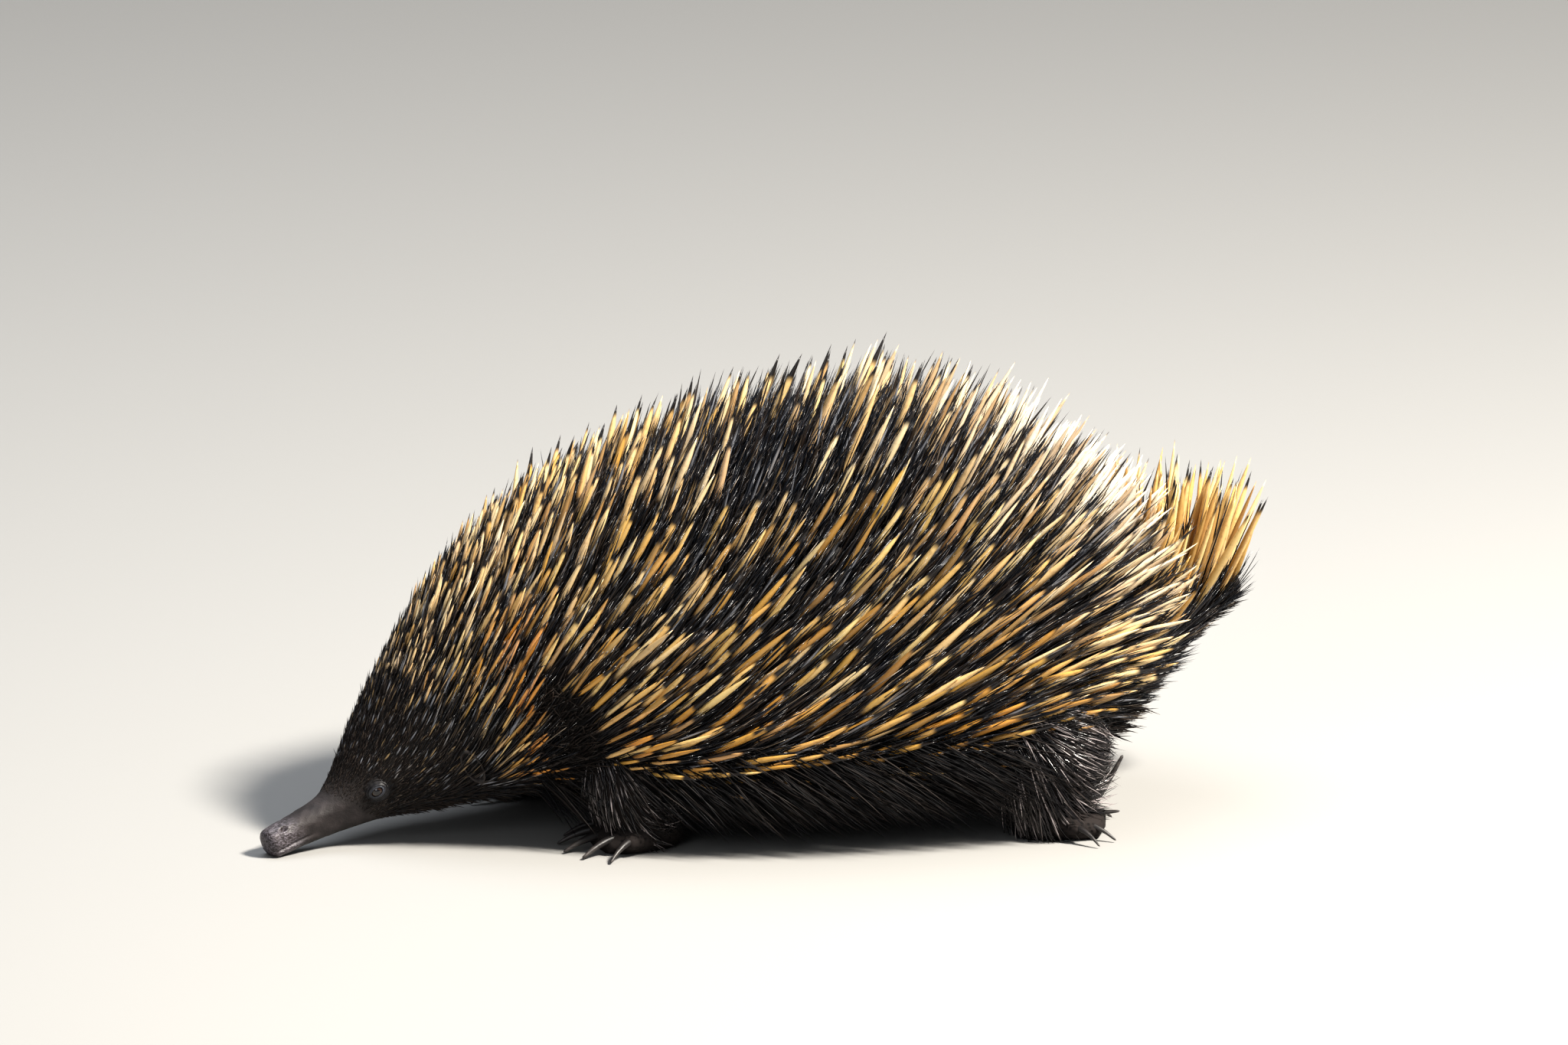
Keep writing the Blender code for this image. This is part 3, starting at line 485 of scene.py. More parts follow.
def off_back(turn):
    """Degrees from the line of the back, on either side."""
    return np.abs(np.degrees(turn))


SPINE_SPACING, SPINE_RADIUS, BRISTLE_SPACING, RISES = columns(COAT)
RISE_COLUMNS = columns(RISES)


def lie(u, turn, out, least):
    """Unit way of a spine: its rise by place and turn, splayed outward, and no nearer the skin than least."""
    rises = np.stack([by_place(column, u) for column in RISE_COLUMNS], 1)
    last = len(RISE_TURNS) - 1
    spot = np.clip(np.interp(off_back(turn), RISE_TURNS, range(last + 1)), 0, last - 0.001)
    i = spot.astype(int)
    rows = np.arange(len(u))
    rise = np.radians(rises[rows, i] + (rises[rows, i + 1] - rises[rows, i]) * (spot - i))
    splay = np.interp(off_back(turn), RISE_TURNS, SPLAY)
    level = np.sqrt(1 - splay**2)
    way = np.stack([np.cos(rise) * level, -np.sign(turn) * splay, np.sin(rise) * level], 1)
    short = np.maximum(0, least - (way * out).sum(1))
    return unit(way + out * short[:, None])


def nudged(ways, degrees):
    """Each way turned by a random angle of about so many degrees."""
    return unit(ways + draw.normal(size=ways.shape) * math.tan(math.radians(degrees)) / math.sqrt(2))


# %% [markdown]
# The hollow behind the cheek has no spines, only black wool. It is an upright oval on the side of the neck.

# %% The woolly hollow
HOLLOW_PLACE, HOLLOW_TURN = place("nape", 0.20), math.radians(100)
HOLLOW_REACH = (14 * MM, 27 * MM)
HOLLOW_MIDDLE = body_skin(np.array([HOLLOW_PLACE]), np.array([HOLLOW_TURN]))[0]


def in_ovals(long, height):
    """Under 1 inside the oval of the hollow: long is measured from its middle, height from the floor."""
    tall = (height - HOLLOW_MIDDLE[2]) / HOLLOW_REACH[1]
    return np.sqrt((long / HOLLOW_REACH[0]) ** 2 + tall**2)


def hollow_depth(u, turn):
    """Under 1 inside the hollow, growing outward from 0 at its middle."""
    return in_ovals(u - HOLLOW_PLACE, body_skin(u, np.abs(turn))[..., 2])


# %% [markdown]
# ## Where the bare beak ends
#
# The fur's edge runs slantwise: it starts high on the forehead and ends farther back under the chin. One
# function of the turn gives that edge, and both the skin's colour and the fur's roots ask it.


# %% The fur's edge
def fur_edge(turn):
    """Distance from the beak tip where fur begins: 33 mm on top, 49 mm under the chin."""
    return (33 + 16 * ((1 - np.cos(turn)) / 2) ** 1.2) * MM


# %% Skin
MOUTH_TURN, MOUTH_END = math.radians(104), 16 * MM
NOSTRIL_TURN, NOSTRIL_PLACE = math.radians(40), 5.6 * MM
FINE_ROWS_END = 62 * MM
CAP_SHARES = (0.94, 0.80, 0.58, 0.3)


def skin_relief(u, turn):
    """Height added to the body's form: the mouth's groove and lips, nostrils, and folds along the beak."""
    reach = np.maximum(body_frames(u.ravel())[4][:, 2], 1 * MM).reshape(u.shape)
    beak = 1 - np.clip((u - 20 * MM) / (22 * MM), 0, 1)
    aside = (np.abs(turn) - MOUTH_TURN) * reach
    mouth = 1 - 1 / (1 + np.exp(-(u - MOUTH_END) / (1.2 * MM)))
    groove = -0.75 * MM * np.exp(-((aside / (0.55 * MM)) ** 2)) * mouth
    lip = 0.28 * MM * np.exp(-(((aside - 1.4 * MM) / (0.9 * MM)) ** 2)) * mouth
    long = (u - NOSTRIL_PLACE) / (1.5 * MM)
    wide = (np.abs(turn) - NOSTRIL_TURN) * reach / (0.95 * MM)
    nostril = -1.3 * MM * np.exp(-((long**2 + wide**2) ** 1.5))
    rim = 0.22 * MM * np.exp(-((np.sqrt(long**2 + wide**2) - 1.7) ** 2) * 5)
    folds = 0.10 * MM * np.sin(turn * 9 + u * 210) * np.sin(u * 900) * beak
    return groove + lip + nostril + rim + folds


def skin_piece():
    """Points and faces of the whole skin with rounded ends, how bare it is, and its distance from the tip."""
    rows = np.concatenate([np.linspace(0, FINE_ROWS_END, 150), np.linspace(FINE_ROWS_END, PLACES[-1], 190)[1:]])
    u, turn = np.meshgrid(rows, np.linspace(-np.pi, np.pi, 145)[:-1], indexing="ij")
    points, out, _ = surface_frames(body_skin, u, turn)
    points = points + out * skin_relief(u, turn)[..., None]
    middle, back, _, _, _ = body_frames(rows[[0, -1]])
    caps = []
    for end, bulge in ((0, -3.4 * MM), (-1, 5 * MM)):
        caps.append([
            middle[end] + (points[end] - middle[end]) * share + back[end] * (bulge * math.sqrt(1 - share**2))
            for share in CAP_SHARES
        ])
    grid = np.stack([*caps[0][::-1], *points, *caps[1]])
    poles = [middle[0] - back[0] * 3.5 * MM, middle[1] + back[1] * 5.1 * MM]
    everything = np.concatenate([grid.reshape(-1, 3), poles])
    everything[:, 2] = np.maximum(everything[:, 2], 0.05 * MM)
    bare = 1 / (1 + np.exp((u - fur_edge(turn)) / (1.6 * MM)))
    cap = np.ones(len(CAP_SHARES) * u.shape[1])
    bare = np.concatenate([cap, bare.ravel(), 0 * cap, [1, 0]])
    from_tip = np.concatenate([0 * cap, u.ravel(), PLACES[-1] * cap, [0, PLACES[-1]]])
    return everything, *closed_faces(len(grid), u.shape[1]), {"bare": bare, "from_tip": from_tip}


# %% [markdown]
# The beak's skin is smooth, grey-brown leather, shinier at its blunt end, with fine pores; pale blotches are
# painted on the blunt end as a highlight. Under the coat the skin is nearly black. The same recipe serves both,
# mixed by a value that fades along the fur's edge.

# %% Skin finish
look = Look("beak_and_body_skin")
tipward = 1 - look.value("from_tip").between(0.004, 0.017)
mottle = look.noise(160, 4)
grey_brown = look.paint((0.014, 0.011, 0.011), (0.030, 0.024, 0.024), mottle.between(0.35, 0.7))
# Painted highlight: pale blotches near the blunt tip stand for its sheen, not a colour of the skin.
highlight_blotches = look.noise(700, 4, (1, 2.5, 2.5)).between(0.38, 0.66)
painted_tip_highlight = look.paint(grey_brown, (0.17, 0.15, 0.17), tipward * highlight_blotches * 0.75)
skin_height = look.cells(1500).between(0.0, 0.6) * 0.25 + look.noise(520) * 0.9
skin_finish = look.finish(
    Base_Color=look.paint((0.012, 0.009, 0.008), painted_tip_highlight, look.value("bare")),
    Roughness=0.62 - tipward * 0.22 + mottle * 0.08,
    Specular_IOR_Level=0.35,
    Normal=look.bump(skin_height, 0.00035, 0.55),
)
points, quads, tris, values = skin_piece()
flesh = ("beak", "head", "neck", "torso", "tail")
make_piece("skin", points, quads, tris, skin_finish, "beak_skin", flesh, values)

# %% [markdown]
# ## Eyes
#
# An echidna's eye is a small dark bead, sunk in the fur and ringed by wrinkled blue-grey lids. The ball stays a
# separate piece with a cornea that bulges a little. The lids are a ring-shaped surface: it starts under the
# skin, rises to a soft rim, and turns in over the ball, leaving an almond-shaped opening.

# %% Eyeballs
EYE_PLACE, EYE_TURN = place("beak root", 0.95), math.radians(80)
EYE_RADIUS, EYE_SINK, CORNEA = 3.9 * MM, 1.9 * MM, 0.07


def side_frame(u, turn, side):
    """Point, outward way, way back and way up of a spot on one side of the body; side is 1 for left."""
    point, out, along = surface_frames(body_skin, np.array([u]), np.array([turn * side]))
    return point[0], out[0], along[0], np.cross(along[0], out[0]) * side


def eyeball(side):
    """Sphere of the eye with a cornea raised round its outward pole."""
    here, out, back, up = side_frame(EYE_PLACE, EYE_TURN, side)
    middle = here - out * EYE_SINK
    polar, a = np.linspace(0, np.pi, 33)[1:-1], ring(40)
    swell = 1 + CORNEA * np.exp(-((polar / 0.45) ** 2))
    radial = np.sin(polar)[:, None, None] * (np.cos(a)[:, None] * back + side * np.sin(a)[:, None] * up)
    rings = middle + EYE_RADIUS * swell[:, None, None] * (radial + np.cos(polar)[:, None, None] * out)
    poles = [middle + out * EYE_RADIUS * (1 + CORNEA), middle - out * EYE_RADIUS]
    off_axis = np.concatenate([np.repeat(polar, len(a)), [0, np.pi]])
    return np.concatenate([rings.reshape(-1, 3), poles]), *closed_faces(len(polar), len(a)), off_axis


look = Look("eye")
iris = look.paint((0.035, 0.018, 0.010), (0.010, 0.007, 0.006), look.noise(1800, 2).between(0.4, 0.65))
eye_colour = look.paint((0.002, 0.002, 0.003), iris, look.value("off_axis").between(0.30, 0.40))
eye_finish = look.finish(Base_Color=eye_colour, Roughness=0.06, Coat_Weight=0.6)
for word, side in SIDES:
    points, quads, tris, off_axis = eyeball(side)
    values = {"off_axis": off_axis}
    make_piece(f"eyeball_{word}", points, quads, tris, eye_finish, "eye", (f"eye_{word}",), values)


# %% Lids
def lids(side):
    """Ring surface round the eye. Each loop's distance from the eye's axis and height off the skin come from
    a profile, opened to an almond and wrinkled by waves that run round with it. The last loop joins the
    first under the skin, which closes the ring."""
    here, out, back, up = side_frame(EYE_PLACE, EYE_TURN, side)
    a, shares = ring(96), np.linspace(0, 1, 22)
    opening = np.stack([np.cos(a) * 2.75, np.sin(a) * 1.75 - 0.25 * np.cos(a)], 1) * MM
    outer = np.stack([np.cos(a) * 6.9, np.sin(a) * 5.6], 1) * MM
    flat = opening[None] + (outer - opening)[None] * shares[:, None, None]
    on_ball = np.sqrt(np.maximum((EYE_RADIUS + 0.45 * MM) ** 2 - (flat**2).sum(2), 0))
    column = shares[:, None]
    arch = np.sin(column * np.pi)
    blend = np.clip(column * 2.2, 0, 1) ** 1.5
    puff = 0.95 * MM * np.exp(-(((column - 0.32) / 0.17) ** 2)) * (1 - 0.35 * np.sin(a))
    wrinkle = (0.20 * np.sin(column * 26) + 0.05 * np.sin(a * 13)) * arch * MM
    sink = -1.2 * MM * np.clip((column - 0.72) / 0.28, 0, 1) ** 1.3
    height = on_ball * (1 - blend) + EYE_SINK * blend + puff + wrinkle + sink
    flat = np.concatenate([flat[:1] * 0.99, flat])
    height = np.concatenate([on_ball[:1] - 0.7 * MM, height])
    points = here - out * EYE_SINK + flat[..., :1] * back + flat[..., 1:] * up + height[..., None] * out
    count, around = height.shape
    quads = closed_faces(count + 1, around, side < 0)[0] % (count * around)
    return points, quads, np.concatenate([np.zeros(around), np.repeat(shares, around)])


look = Look("lids")
rim_share = look.value("rim")
creases = look.noise(900)
# Blue-grey by the opening: partly the lids' own colour, partly a painted highlight; outward they fade to near
# black.
lid_colour_and_rim_highlight = look.paint((0.030, 0.034, 0.045), (0.005, 0.004, 0.005), rim_share.between(0.05, 0.42))
lid_finish = look.finish(
    Base_Color=look.paint(lid_colour_and_rim_highlight, (0.012, 0.010, 0.010), creases.between(0.45, 0.75) * 0.7),
    Roughness=0.36 + rim_share * 0.5,
    Normal=look.bump(creases, 0.0003, 0.6),
)
for word, side in SIDES:
    points, quads, rim = lids(side)
    make_piece(f"lids_{word}", points, quads, [], lid_finish, "beak_skin", (), {"rim": rim})

# %% [markdown]
# ## Ears
#
# The ear opens low on the side of the head behind the eye, a slit half hidden by bristles, with a thin
# upright rim. It is a bowl: a profile that climbs outside, turns over the rim and goes down inside, carried
# round an upright oval.

# %% Ears
EAR_PLACE, EAR_TURN = place("skull", 0.80), math.radians(96)
EAR_SIZE = (4.0 * MM, 9.0 * MM)
EAR_PROFILE = (  # share of the oval's size, height off the head in millimetres
    (1.00, -1.6), (1.03, 0.0), (1.05, 0.8), (1.03, 1.4), (0.97, 1.7), (0.88, 1.5), (0.80, 0.8), (0.74, -0.2),
    (0.66, -0.6), (0.50, -1.8), (0.28, -2.4),
)


def ear(side):
    """Bowl of the ear: rings of the profile round an oval, the rim a quarter higher at its back than midway."""
    here, out, back, up = side_frame(EAR_PLACE, EAR_TURN, side)
    a = ring(48)
    size, height = (np.array(column, float)[:, None] for column in zip(*EAR_PROFILE))
    flat = size[..., None] * np.stack([np.cos(a) * EAR_SIZE[0], np.sin(a) * EAR_SIZE[1]], 1)
    stand = height * MM * np.where(height > 0, 1 + 0.25 * np.cos(a), 1)
    points = here + flat[..., :1] * back + flat[..., 1:] * up + stand[..., None] * out
    points = np.concatenate([points.reshape(-1, 3), [here - 3.4 * MM * out, here - 2.6 * MM * out]])
    return points, *closed_faces(len(size), len(a), side > 0)


look = Look("ear_skin")
veins = look.noise(420, 4)
ear_finish = look.finish(
    Base_Color=look.paint((0.020, 0.014, 0.013), (0.009, 0.007, 0.007), veins.between(0.35, 0.7)),
    Roughness=0.55 + veins * 0.15,
    Normal=look.bump(veins, 0.0003, 0.5),
)
for word, side in SIDES:
    make_piece(f"ear_cup_{word}", *ear(side), ear_finish, "ear_skin", (f"ear_{word}",))

# %% [markdown]
# ## Legs and feet
#
# The legs are short pillars that come out of the body's side. Only the left hind leg shows well, as a rounded
# mass of swirling bristles. Each is a limb: an ellipse carried through a few stops on a smooth curve.

# %% Limbs
FEET = {  # side, sole's middle x and y in millimetres, toes' heading off straight ahead, root on the body
    "front_left": (1, -66, 48, 10, (-74, 36, 50)),
    "front_right": (-1, -94, 60, 6, (-82, 42, 52)),
    "hind_left": (1, 116, 72, 158, (105, 50, 56)),
    "hind_right": (-1, 90, 72, 142, (82, 45, 56)),
}
LEG_THICKNESS = {"front": (18.5, 19.5, 15.5), "hind": (23, 24, 16.5)}


def heading(side, degrees):
    """Level way, in degrees from straight ahead towards the animal's own side."""
    a = math.radians(degrees)
    return np.array([-math.cos(a), -side * math.sin(a), 0.0])


def limb_surface(stops, over):
    """A limb as a surface: its first coordinate runs along in metres, its second turns round it.

    Stops are x, y, z, half width, half height. The ring square to the way is an ellipse."""
    stops = np.array(stops, float) * MM
    knots = np.concatenate([[0.0], np.cumsum(np.linalg.norm(np.diff(stops[:, :3], axis=0), axis=1))])
    step = 0.3 * MM

    def surface(s, t):
        s, t = np.broadcast_arrays(s, t)
        shape, s, t = s.shape, s.ravel(), t.ravel()
        row = smooth_through(knots, stops, s)
        ahead, behind = (smooth_through(knots, stops, s + move)[:, :3] for move in (step, -step))
        way = unit(ahead - behind)
        side = unit(np.cross(way, np.array(over, float)))
        top = np.cross(side, way)
        point = row[:, :3] + side * (row[:, 3] * np.sin(t))[:, None] + top * (row[:, 4] * np.cos(t))[:, None]
        return point.reshape(*shape, 3)

    return surface, knots[-1]


def leg_stops(name):
    """Hip, knee and ankle of a leg with their half widths; the knee is bowed out and up."""
    side, x, y, turn, (bx, by, bz) = FEET[name]
    thick, calf, thin = LEG_THICKNESS[name.split("_")[0]]
    foot, hip = np.array([x, -side * y, 0.0]), np.array([bx, -side * by, bz])
    knee = foot * 0.5 + hip * 0.5 + (0, -side * 5, 4)
    ankle = foot - heading(side, turn) * 4 + (0, 0, 5)
    return [(*hip, thick, thick), (*knee, calf, calf), (*ankle, thin * 0.92, thin * 0.92)]


def tube(surface, length, rows, around, ends=(0.0, 0.0)):
    """Grid over a limb with both ends closed by a point; ends gives how far each point stands out."""
    grid = surface(np.linspace(0, length, rows)[:, None], ring(around)[None, :])
    middles = grid.mean(axis=1)
    poles = np.stack([
        middles[0] - unit(middles[1] - middles[0]) * ends[0],
        middles[-1] + unit(middles[-1] - middles[-2]) * ends[1],
    ])
    points = np.concatenate([grid.reshape(-1, 3), poles])
    quads, tris = closed_faces(rows, around)
    a, b, c, d = (points[quads[:, n]] for n in range(4))
    inside_out = (a * (np.cross(b, c) + np.cross(c, d))).sum() < 0
    return points, *closed_faces(rows, around, inside_out)


look = Look("leg_skin")
leg_finish = look.finish(
    Base_Color=look.paint((0.010, 0.008, 0.008), (0.022, 0.017, 0.015), look.noise(300)),
    Roughness=0.9,
    Specular_IOR_Level=0.15,
)
LEGS = {name: limb_surface(leg_stops(name), (1, 0, 0)) for name in FEET}
for name in FEET:
    make_piece(f"leg_skin_{name}", *tube(*LEGS[name], 24, 40), leg_finish, "fur", (f"leg_{name}",))

# %% [markdown]
# The foot is broad and short-toed. Its sole is flat on the floor, its back is arched, and each of the five
# claws grows from a low toe. The claws are separate horn pieces: curved cones, flattened from side to side, with
# fine growth lines along them. The hind foot's second claw, the grooming claw, turns up and back.

# %% Feet and claws
FOOT_STATIONS = {  # distance towards the toes, height, half width, half height; millimetres
    "front": (
        (-19, 6.5, 6.0, 6.5), (-14, 7.0, 11.0, 10.0), (-4, 7.6, 15.0, 11.2), (10, 5.5, 16.5, 8.2),
        (19, 3.8, 12.5, 4.6),
    ),
    "hind": (
        (-20, 7.0, 6.0, 7.0), (-14, 8.0, 12.0, 11.0), (-4, 8.6, 15.5, 11.8), (10, 6.0, 15.0, 8.2),
        (19, 4.2, 10.5, 4.8),
    ),
}
CLAWS = {  # heading off the foot's, length, half width, height of the tip
    "front": (
        (-34, 16, 2.6, 1.2), (-16, 21, 3.1, 1.2), (0, 23, 3.3, 1.2), (15, 21, 3.1, 1.2), (33, 16, 2.6, 1.2),
    ),
    "hind": (
        (40, 12, 2.2, 1.5), (18, 15, 3.1, 32.0), (0, 14, 2.6, 11.0), (-16, 15, 2.2, 1.5), (-34, 12, 2.0, 1.5),
    ),
}
CLAW_ROOTS = (4, 22, 6)  # how far ahead of the foot's middle they fan from, the fan's reach, their height
CLAW_SUNK, CLAW_BOW = 8, 8
CLAW_ROWS, CLAW_AROUND = 20, 14
TOE_STOPS = ((-0.1, 1.2), (0.18, 1.5), (0.34, 1.35), (0.44, 1.05))  # share along the claw, times its width

look = Look("foot_skin")
scales = look.cells(420)
foot_finish = look.finish(
    Base_Color=look.paint((0.007, 0.006, 0.006), (0.020, 0.016, 0.015), scales.between(0.05, 0.5)),
    Roughness=0.85,
    Specular_IOR_Level=0.2,
    Normal=look.bump(scales.between(0.0, 0.5), 0.0005, 0.7),
)
look = Look("claw_horn")
lines = look.noise(240, 3, (1, 1, 4))
worn = look.value("along").between(0.55, 1.0) * lines.between(0.3, 0.7)
claw_finish = look.finish(
    Base_Color=look.paint((0.016, 0.014, 0.014), (0.060, 0.052, 0.048), worn),
    Roughness=0.38 + lines * 0.12,
    Normal=look.bump(lines, 0.0003, 0.4),
)


def foot_parts(name):
    """Foot, toes and claws of one foot, each a list of points and faces. A claw's line runs straight from its
    root, lifted by an arch, share × (1 − share), and by share² of its rise."""
    side, x, y, turn, _ = FEET[name]
    kind = name.split("_")[0]
    middle, ahead = np.array([x, -side * y, 0.0]), heading(side, turn)
    stops = [
        (*(middle + ahead * at + (0, 0, high)), wide, tall) for at, high, wide, tall in FOOT_STATIONS[kind]
    ]
    foot = tube(*limb_surface(stops, (0, 0, 1)), 30, 48, (2.0 * MM, 1.5 * MM))
    toes, claws = [], []
    start, fan, low = CLAW_ROOTS
    for spread_out, length, wide, tip in CLAWS[kind]:
        way = heading(side, turn + spread_out)
        root = middle + ahead * start + (way - ahead * ahead.dot(way)) * fan + (0, 0, low)

        def line(share):
            arch = CLAW_BOW * max(share, 0) * (1 - share)
            return root + way * share * (CLAW_SUNK + length) + (0, 0, arch + (tip - low) * share**2)

        claw = [
            (*line(share), wide * (1 - 0.80 * share**1.3), wide * (0.92 - 0.70 * share**1.2))
            for share in np.linspace(0, 1, 6)
        ]
        toe = [(*(line(share) - (0, 0, 0.8)), wide * size, wide * size * 0.95) for share, size in TOE_STOPS]
        claws.append(tube(*limb_surface(claw, (0, 0, 1)), CLAW_ROWS, CLAW_AROUND, (1 * MM, 0.8 * MM)))
        toes.append(tube(*limb_surface(toe, (0, 0, 1)), 14, 20, (1 * MM, 1 * MM)))
    return [foot, *toes], claws


def joined(parts):
    """Several closed tubes as one set of points and faces, none of it under the floor."""
    starts = np.cumsum([0] + [len(points) for points, _, _ in parts])
    points = np.concatenate([part[0] for part in parts])
    points[:, 2] = np.maximum(points[:, 2], 0.0)
    return points, *(np.concatenate([part[n] + start for part, start in zip(parts, starts)]) for n in (1, 2))


along_claw = np.concatenate([np.repeat(np.linspace(0, 1, CLAW_ROWS), CLAW_AROUND), [0, 1]])
for name in FEET:
    foot, claws = foot_parts(name)
    make_piece(f"foot_skin_{name}", *joined(foot), foot_finish, "foot_skin", (f"foot_{name}",))
    values = {"along": np.tile(along_claw, len(claws))}
    make_piece(f"claws_{name}", *joined(claws), claw_finish, "foot_skin", (), values)

# %% [markdown]
# ## Spines
#
# A spine is a hair grown stout: a stiff spindle, even for most of its length, with a needle point. Only its
# middle shows as a golden dash, because its root, standing in dark fur, is painted dark as shade, and the tip is
# black. They stand a few millimetres apart on the head, and about a centimetre apart on the flank, where each is
# three millimetres thick.

# %% How spines grow
SPINE_PROFILE = ((0.02, 0.60), (0.12, 0.84), (0.32, 1.0), (0.56, 0.95), (0.76, 0.68), (0.91, 0.30))
FIELD_TURN = {  # degrees from the line of the back where the spines end
    "eyes": 60, "skull": 98, "ears": 122, "nape": 132, "shoulders": 146, "loins": 142, "hips": 120, "rump": 98,
    "tail tip": 92,
}
HEM_TURNS, HEM_PULL = (80, 120), 0.78  # spacing shrinks by this factor between these turns
SUNK = 1.5 * MM


def coat(u, turn, length, width, least, jitter, bow, droop, profile, sides, lowest=-math.inf):
    """Strands that follow the coat's lie, rooted under the skin.

    Bow bends the tip out of the straight line towards the skin (negative) or away from it, droop pulls it
    down, both as shares of the length. The body's unwrap is distance along it by turn round it."""
    here, out, _ = surface_frames(body_skin, u, turn)
    way = nudged(lie(u, turn, out, least), jitter)
    level = unit(np.cross(np.cross(way, out), way))
    bend = level * (bow * length)[:, None] + DOWN * (droop * length)[:, None]
    straight = way * length[:, None] - bend * 0.5
    reach = np.linalg.norm(straight, axis=1) + SUNK
    unwrap = np.stack([u / PLACES[-1], (turn / np.pi + 1) / 2], 1)
    return strands(here - way * SUNK, unit(straight), reach, width, bend, profile, sides, unwrap, lowest)


def full_length(u, turn):
    """The spines' length at a place: the girth's own, longer on the cheek, and shorter on the brow, low on the
    flank and under the rump."""
    degrees = off_back(turn)
    low = np.interp(degrees, (90, 140), (1.0, 0.82)) * np.interp(degrees, (0, 50), (0.94, 1.0))
    rear = np.interp(u, (place("loins", 0.6), place("hips", 0.7)), (0, 1))
    rear = rear * np.interp(u, (place("rump", 0.5), place("tail root")), (1, 0))
    brow = np.interp(u, (place("skull"), place("nape")), (0.52, 1))
    cheek = np.exp(-(((u - place("ears", 0.5)) / (24 * MM)) ** 2))
    cheek = cheek * np.interp(degrees, (35, 70, 118, 130), (0, 1, 1, 0))
    under_rump = 1 - 0.34 * rear * np.interp(degrees, (62, 100), (0, 1))
    return body_frames(u)[4][:, 3] * low * (brow + 0.55 * cheek) * under_rump


def by_table(table):
    """Spacing in metres from a table by place, closer towards the hem of the coat."""
    return lambda s, t: MM * by_place(table, s) * np.interp(off_back(t), HEM_TURNS, (1.0, HEM_PULL))


def field(first, widest, spacing, shuffle):
    """Roots from a place back to the tail's tip, as distances and turns."""
    widest = math.radians(widest)
    return spread(body_skin, (first, PLACES[-1]), (-widest, widest), spacing, shuffle)


def lowness(turn, first=95, span=45):
    """0 on the back and side, growing to 1 towards the belly."""
    return np.clip((off_back(turn) - first) / span, 0, 1)


def dark_saddle(u, turn):
    """1 in the dark patch high on the middle of the back, fading to 0 round it."""
    return np.exp(-(((u - place("ribs", 0.8)) / (58 * MM)) ** 2) - ((off_back(turn) - 26) / 26) ** 2)


def short_of_hollow(u, turn, length):
    """Lengths cut where a strand rooted outside the hollow would cover it."""
    here, out, _ = surface_frames(body_skin, u, turn)
    tip = here + lie(u, turn, out, 0.2) * length[:, None]
    covers = np.clip(1.25 - in_ovals(tip[:, 0] - HOLLOW_MIDDLE[0], tip[:, 2]), 0, 1)
    return length * (1 - 0.6 * covers)


# %% Spines
first = place("skull", 0.25)
u, turn = field(first, 148, by_table(SPINE_SPACING), 0.20)
degrees = off_back(turn)
kept = (hollow_depth(u, turn) > 1.02) & (degrees < by_place(FIELD_TURN, u))
kept &= u > first + np.interp(degrees, (15, 80), (7, 19)) * MM
kept &= draw.uniform(0, 1, len(u)) > 0.74 * dark_saddle(u, turn)
u, turn = u[kept], turn[kept]
count = len(u)
low_down = lowness(turn, 85, 50)
long_ones = 1 + 0.09 * (draw.uniform(0, 1, count) < 0.16)
length = short_of_hollow(u, turn, full_length(u, turn) * draw.uniform(0.82, 1.06, count) * long_ones)
width = by_place(SPINE_RADIUS, u) * MM * (1 - 0.34 * low_down**1.5) * draw.uniform(0.68, 1.18, count)
bow = draw.normal(0.0, 0.02, count) - 0.02
grown = coat(u, turn, length, width, 0.24, 5, bow, 0 * bow, SPINE_PROFILE, 8)
print("spines:", count)

# %% [markdown]
# The gold deepens to orange on the cheek and the lower flank. High on the back, most of all on the rear back and
# the rump, and a little on the nape and the dark saddle, a painted highlight turns it towards cream and pushes the
# black tip outward, as a sunlit sheen would. Each spine has a tone of its own, and its own places where the painted
# shade of its root ends and the black tip begins.

# %% Spine finish
rear_start, rear_end = place("middle", 0.3), place("hips", 0.6)
rearward = np.clip((u - rear_start) / (rear_end - rear_start), 0, 1)
on_tail = np.clip((u - place("rump", 0.6)) / (8 * MM), 0, 1)
topward = np.clip(1.15 - off_back(turn) / 95, 0, 1)
forward = np.interp(u, (place("nape"), place("ribs", 0.6)), (0.34, 0.06))
# Painted highlight: spines high on the back, most on the rear back, are painted towards cream as if sunlit.
bleach = (forward + 0.35 * dark_saddle(u, turn)) * topward + 1.10 * rearward * topward
bleach = np.clip(bleach + draw.normal(0, 0.13, count), 0, 1) * (1 - 0.85 * on_tail)
cheek = np.exp(-((hollow_depth(u, turn) - 1.25) ** 2) * 5) * (u < HOLLOW_PLACE)
warm = np.clip(0.10 + 0.80 * cheek + 0.40 * low_down + draw.normal(0, 0.2, count), 0, 1)
on_head = np.interp(u, (place("ears", 0.6), place("nape", 0.8)), (1, 0))
# Painted shade: how far up from the root each spine is painted dark, as shade in the fur.
root_end = draw.uniform(0.08, 0.42, count) * (1 - 0.6 * on_tail) * (1 - 0.3 * bleach) * (1 - 0.5 * on_head)
tip_start = draw.uniform(0.62, 0.90, count) + 0.10 * on_tail + 0.30 * bleach
tones = {"tone": draw.uniform(0, 1, count), "warm": warm, "bleach": bleach}
tones |= {"root_end": root_end, "tip_start": tip_start}

look = Look("spine_keratin")
along, tone = look.value("along"), look.value("tone")
gold = look.paint((0.58, 0.36, 0.090), (0.80, 0.60, 0.27), tone.between(0.35, 1.0))
gold = look.paint(gold, (0.74, 0.29, 0.020), look.value("warm"))
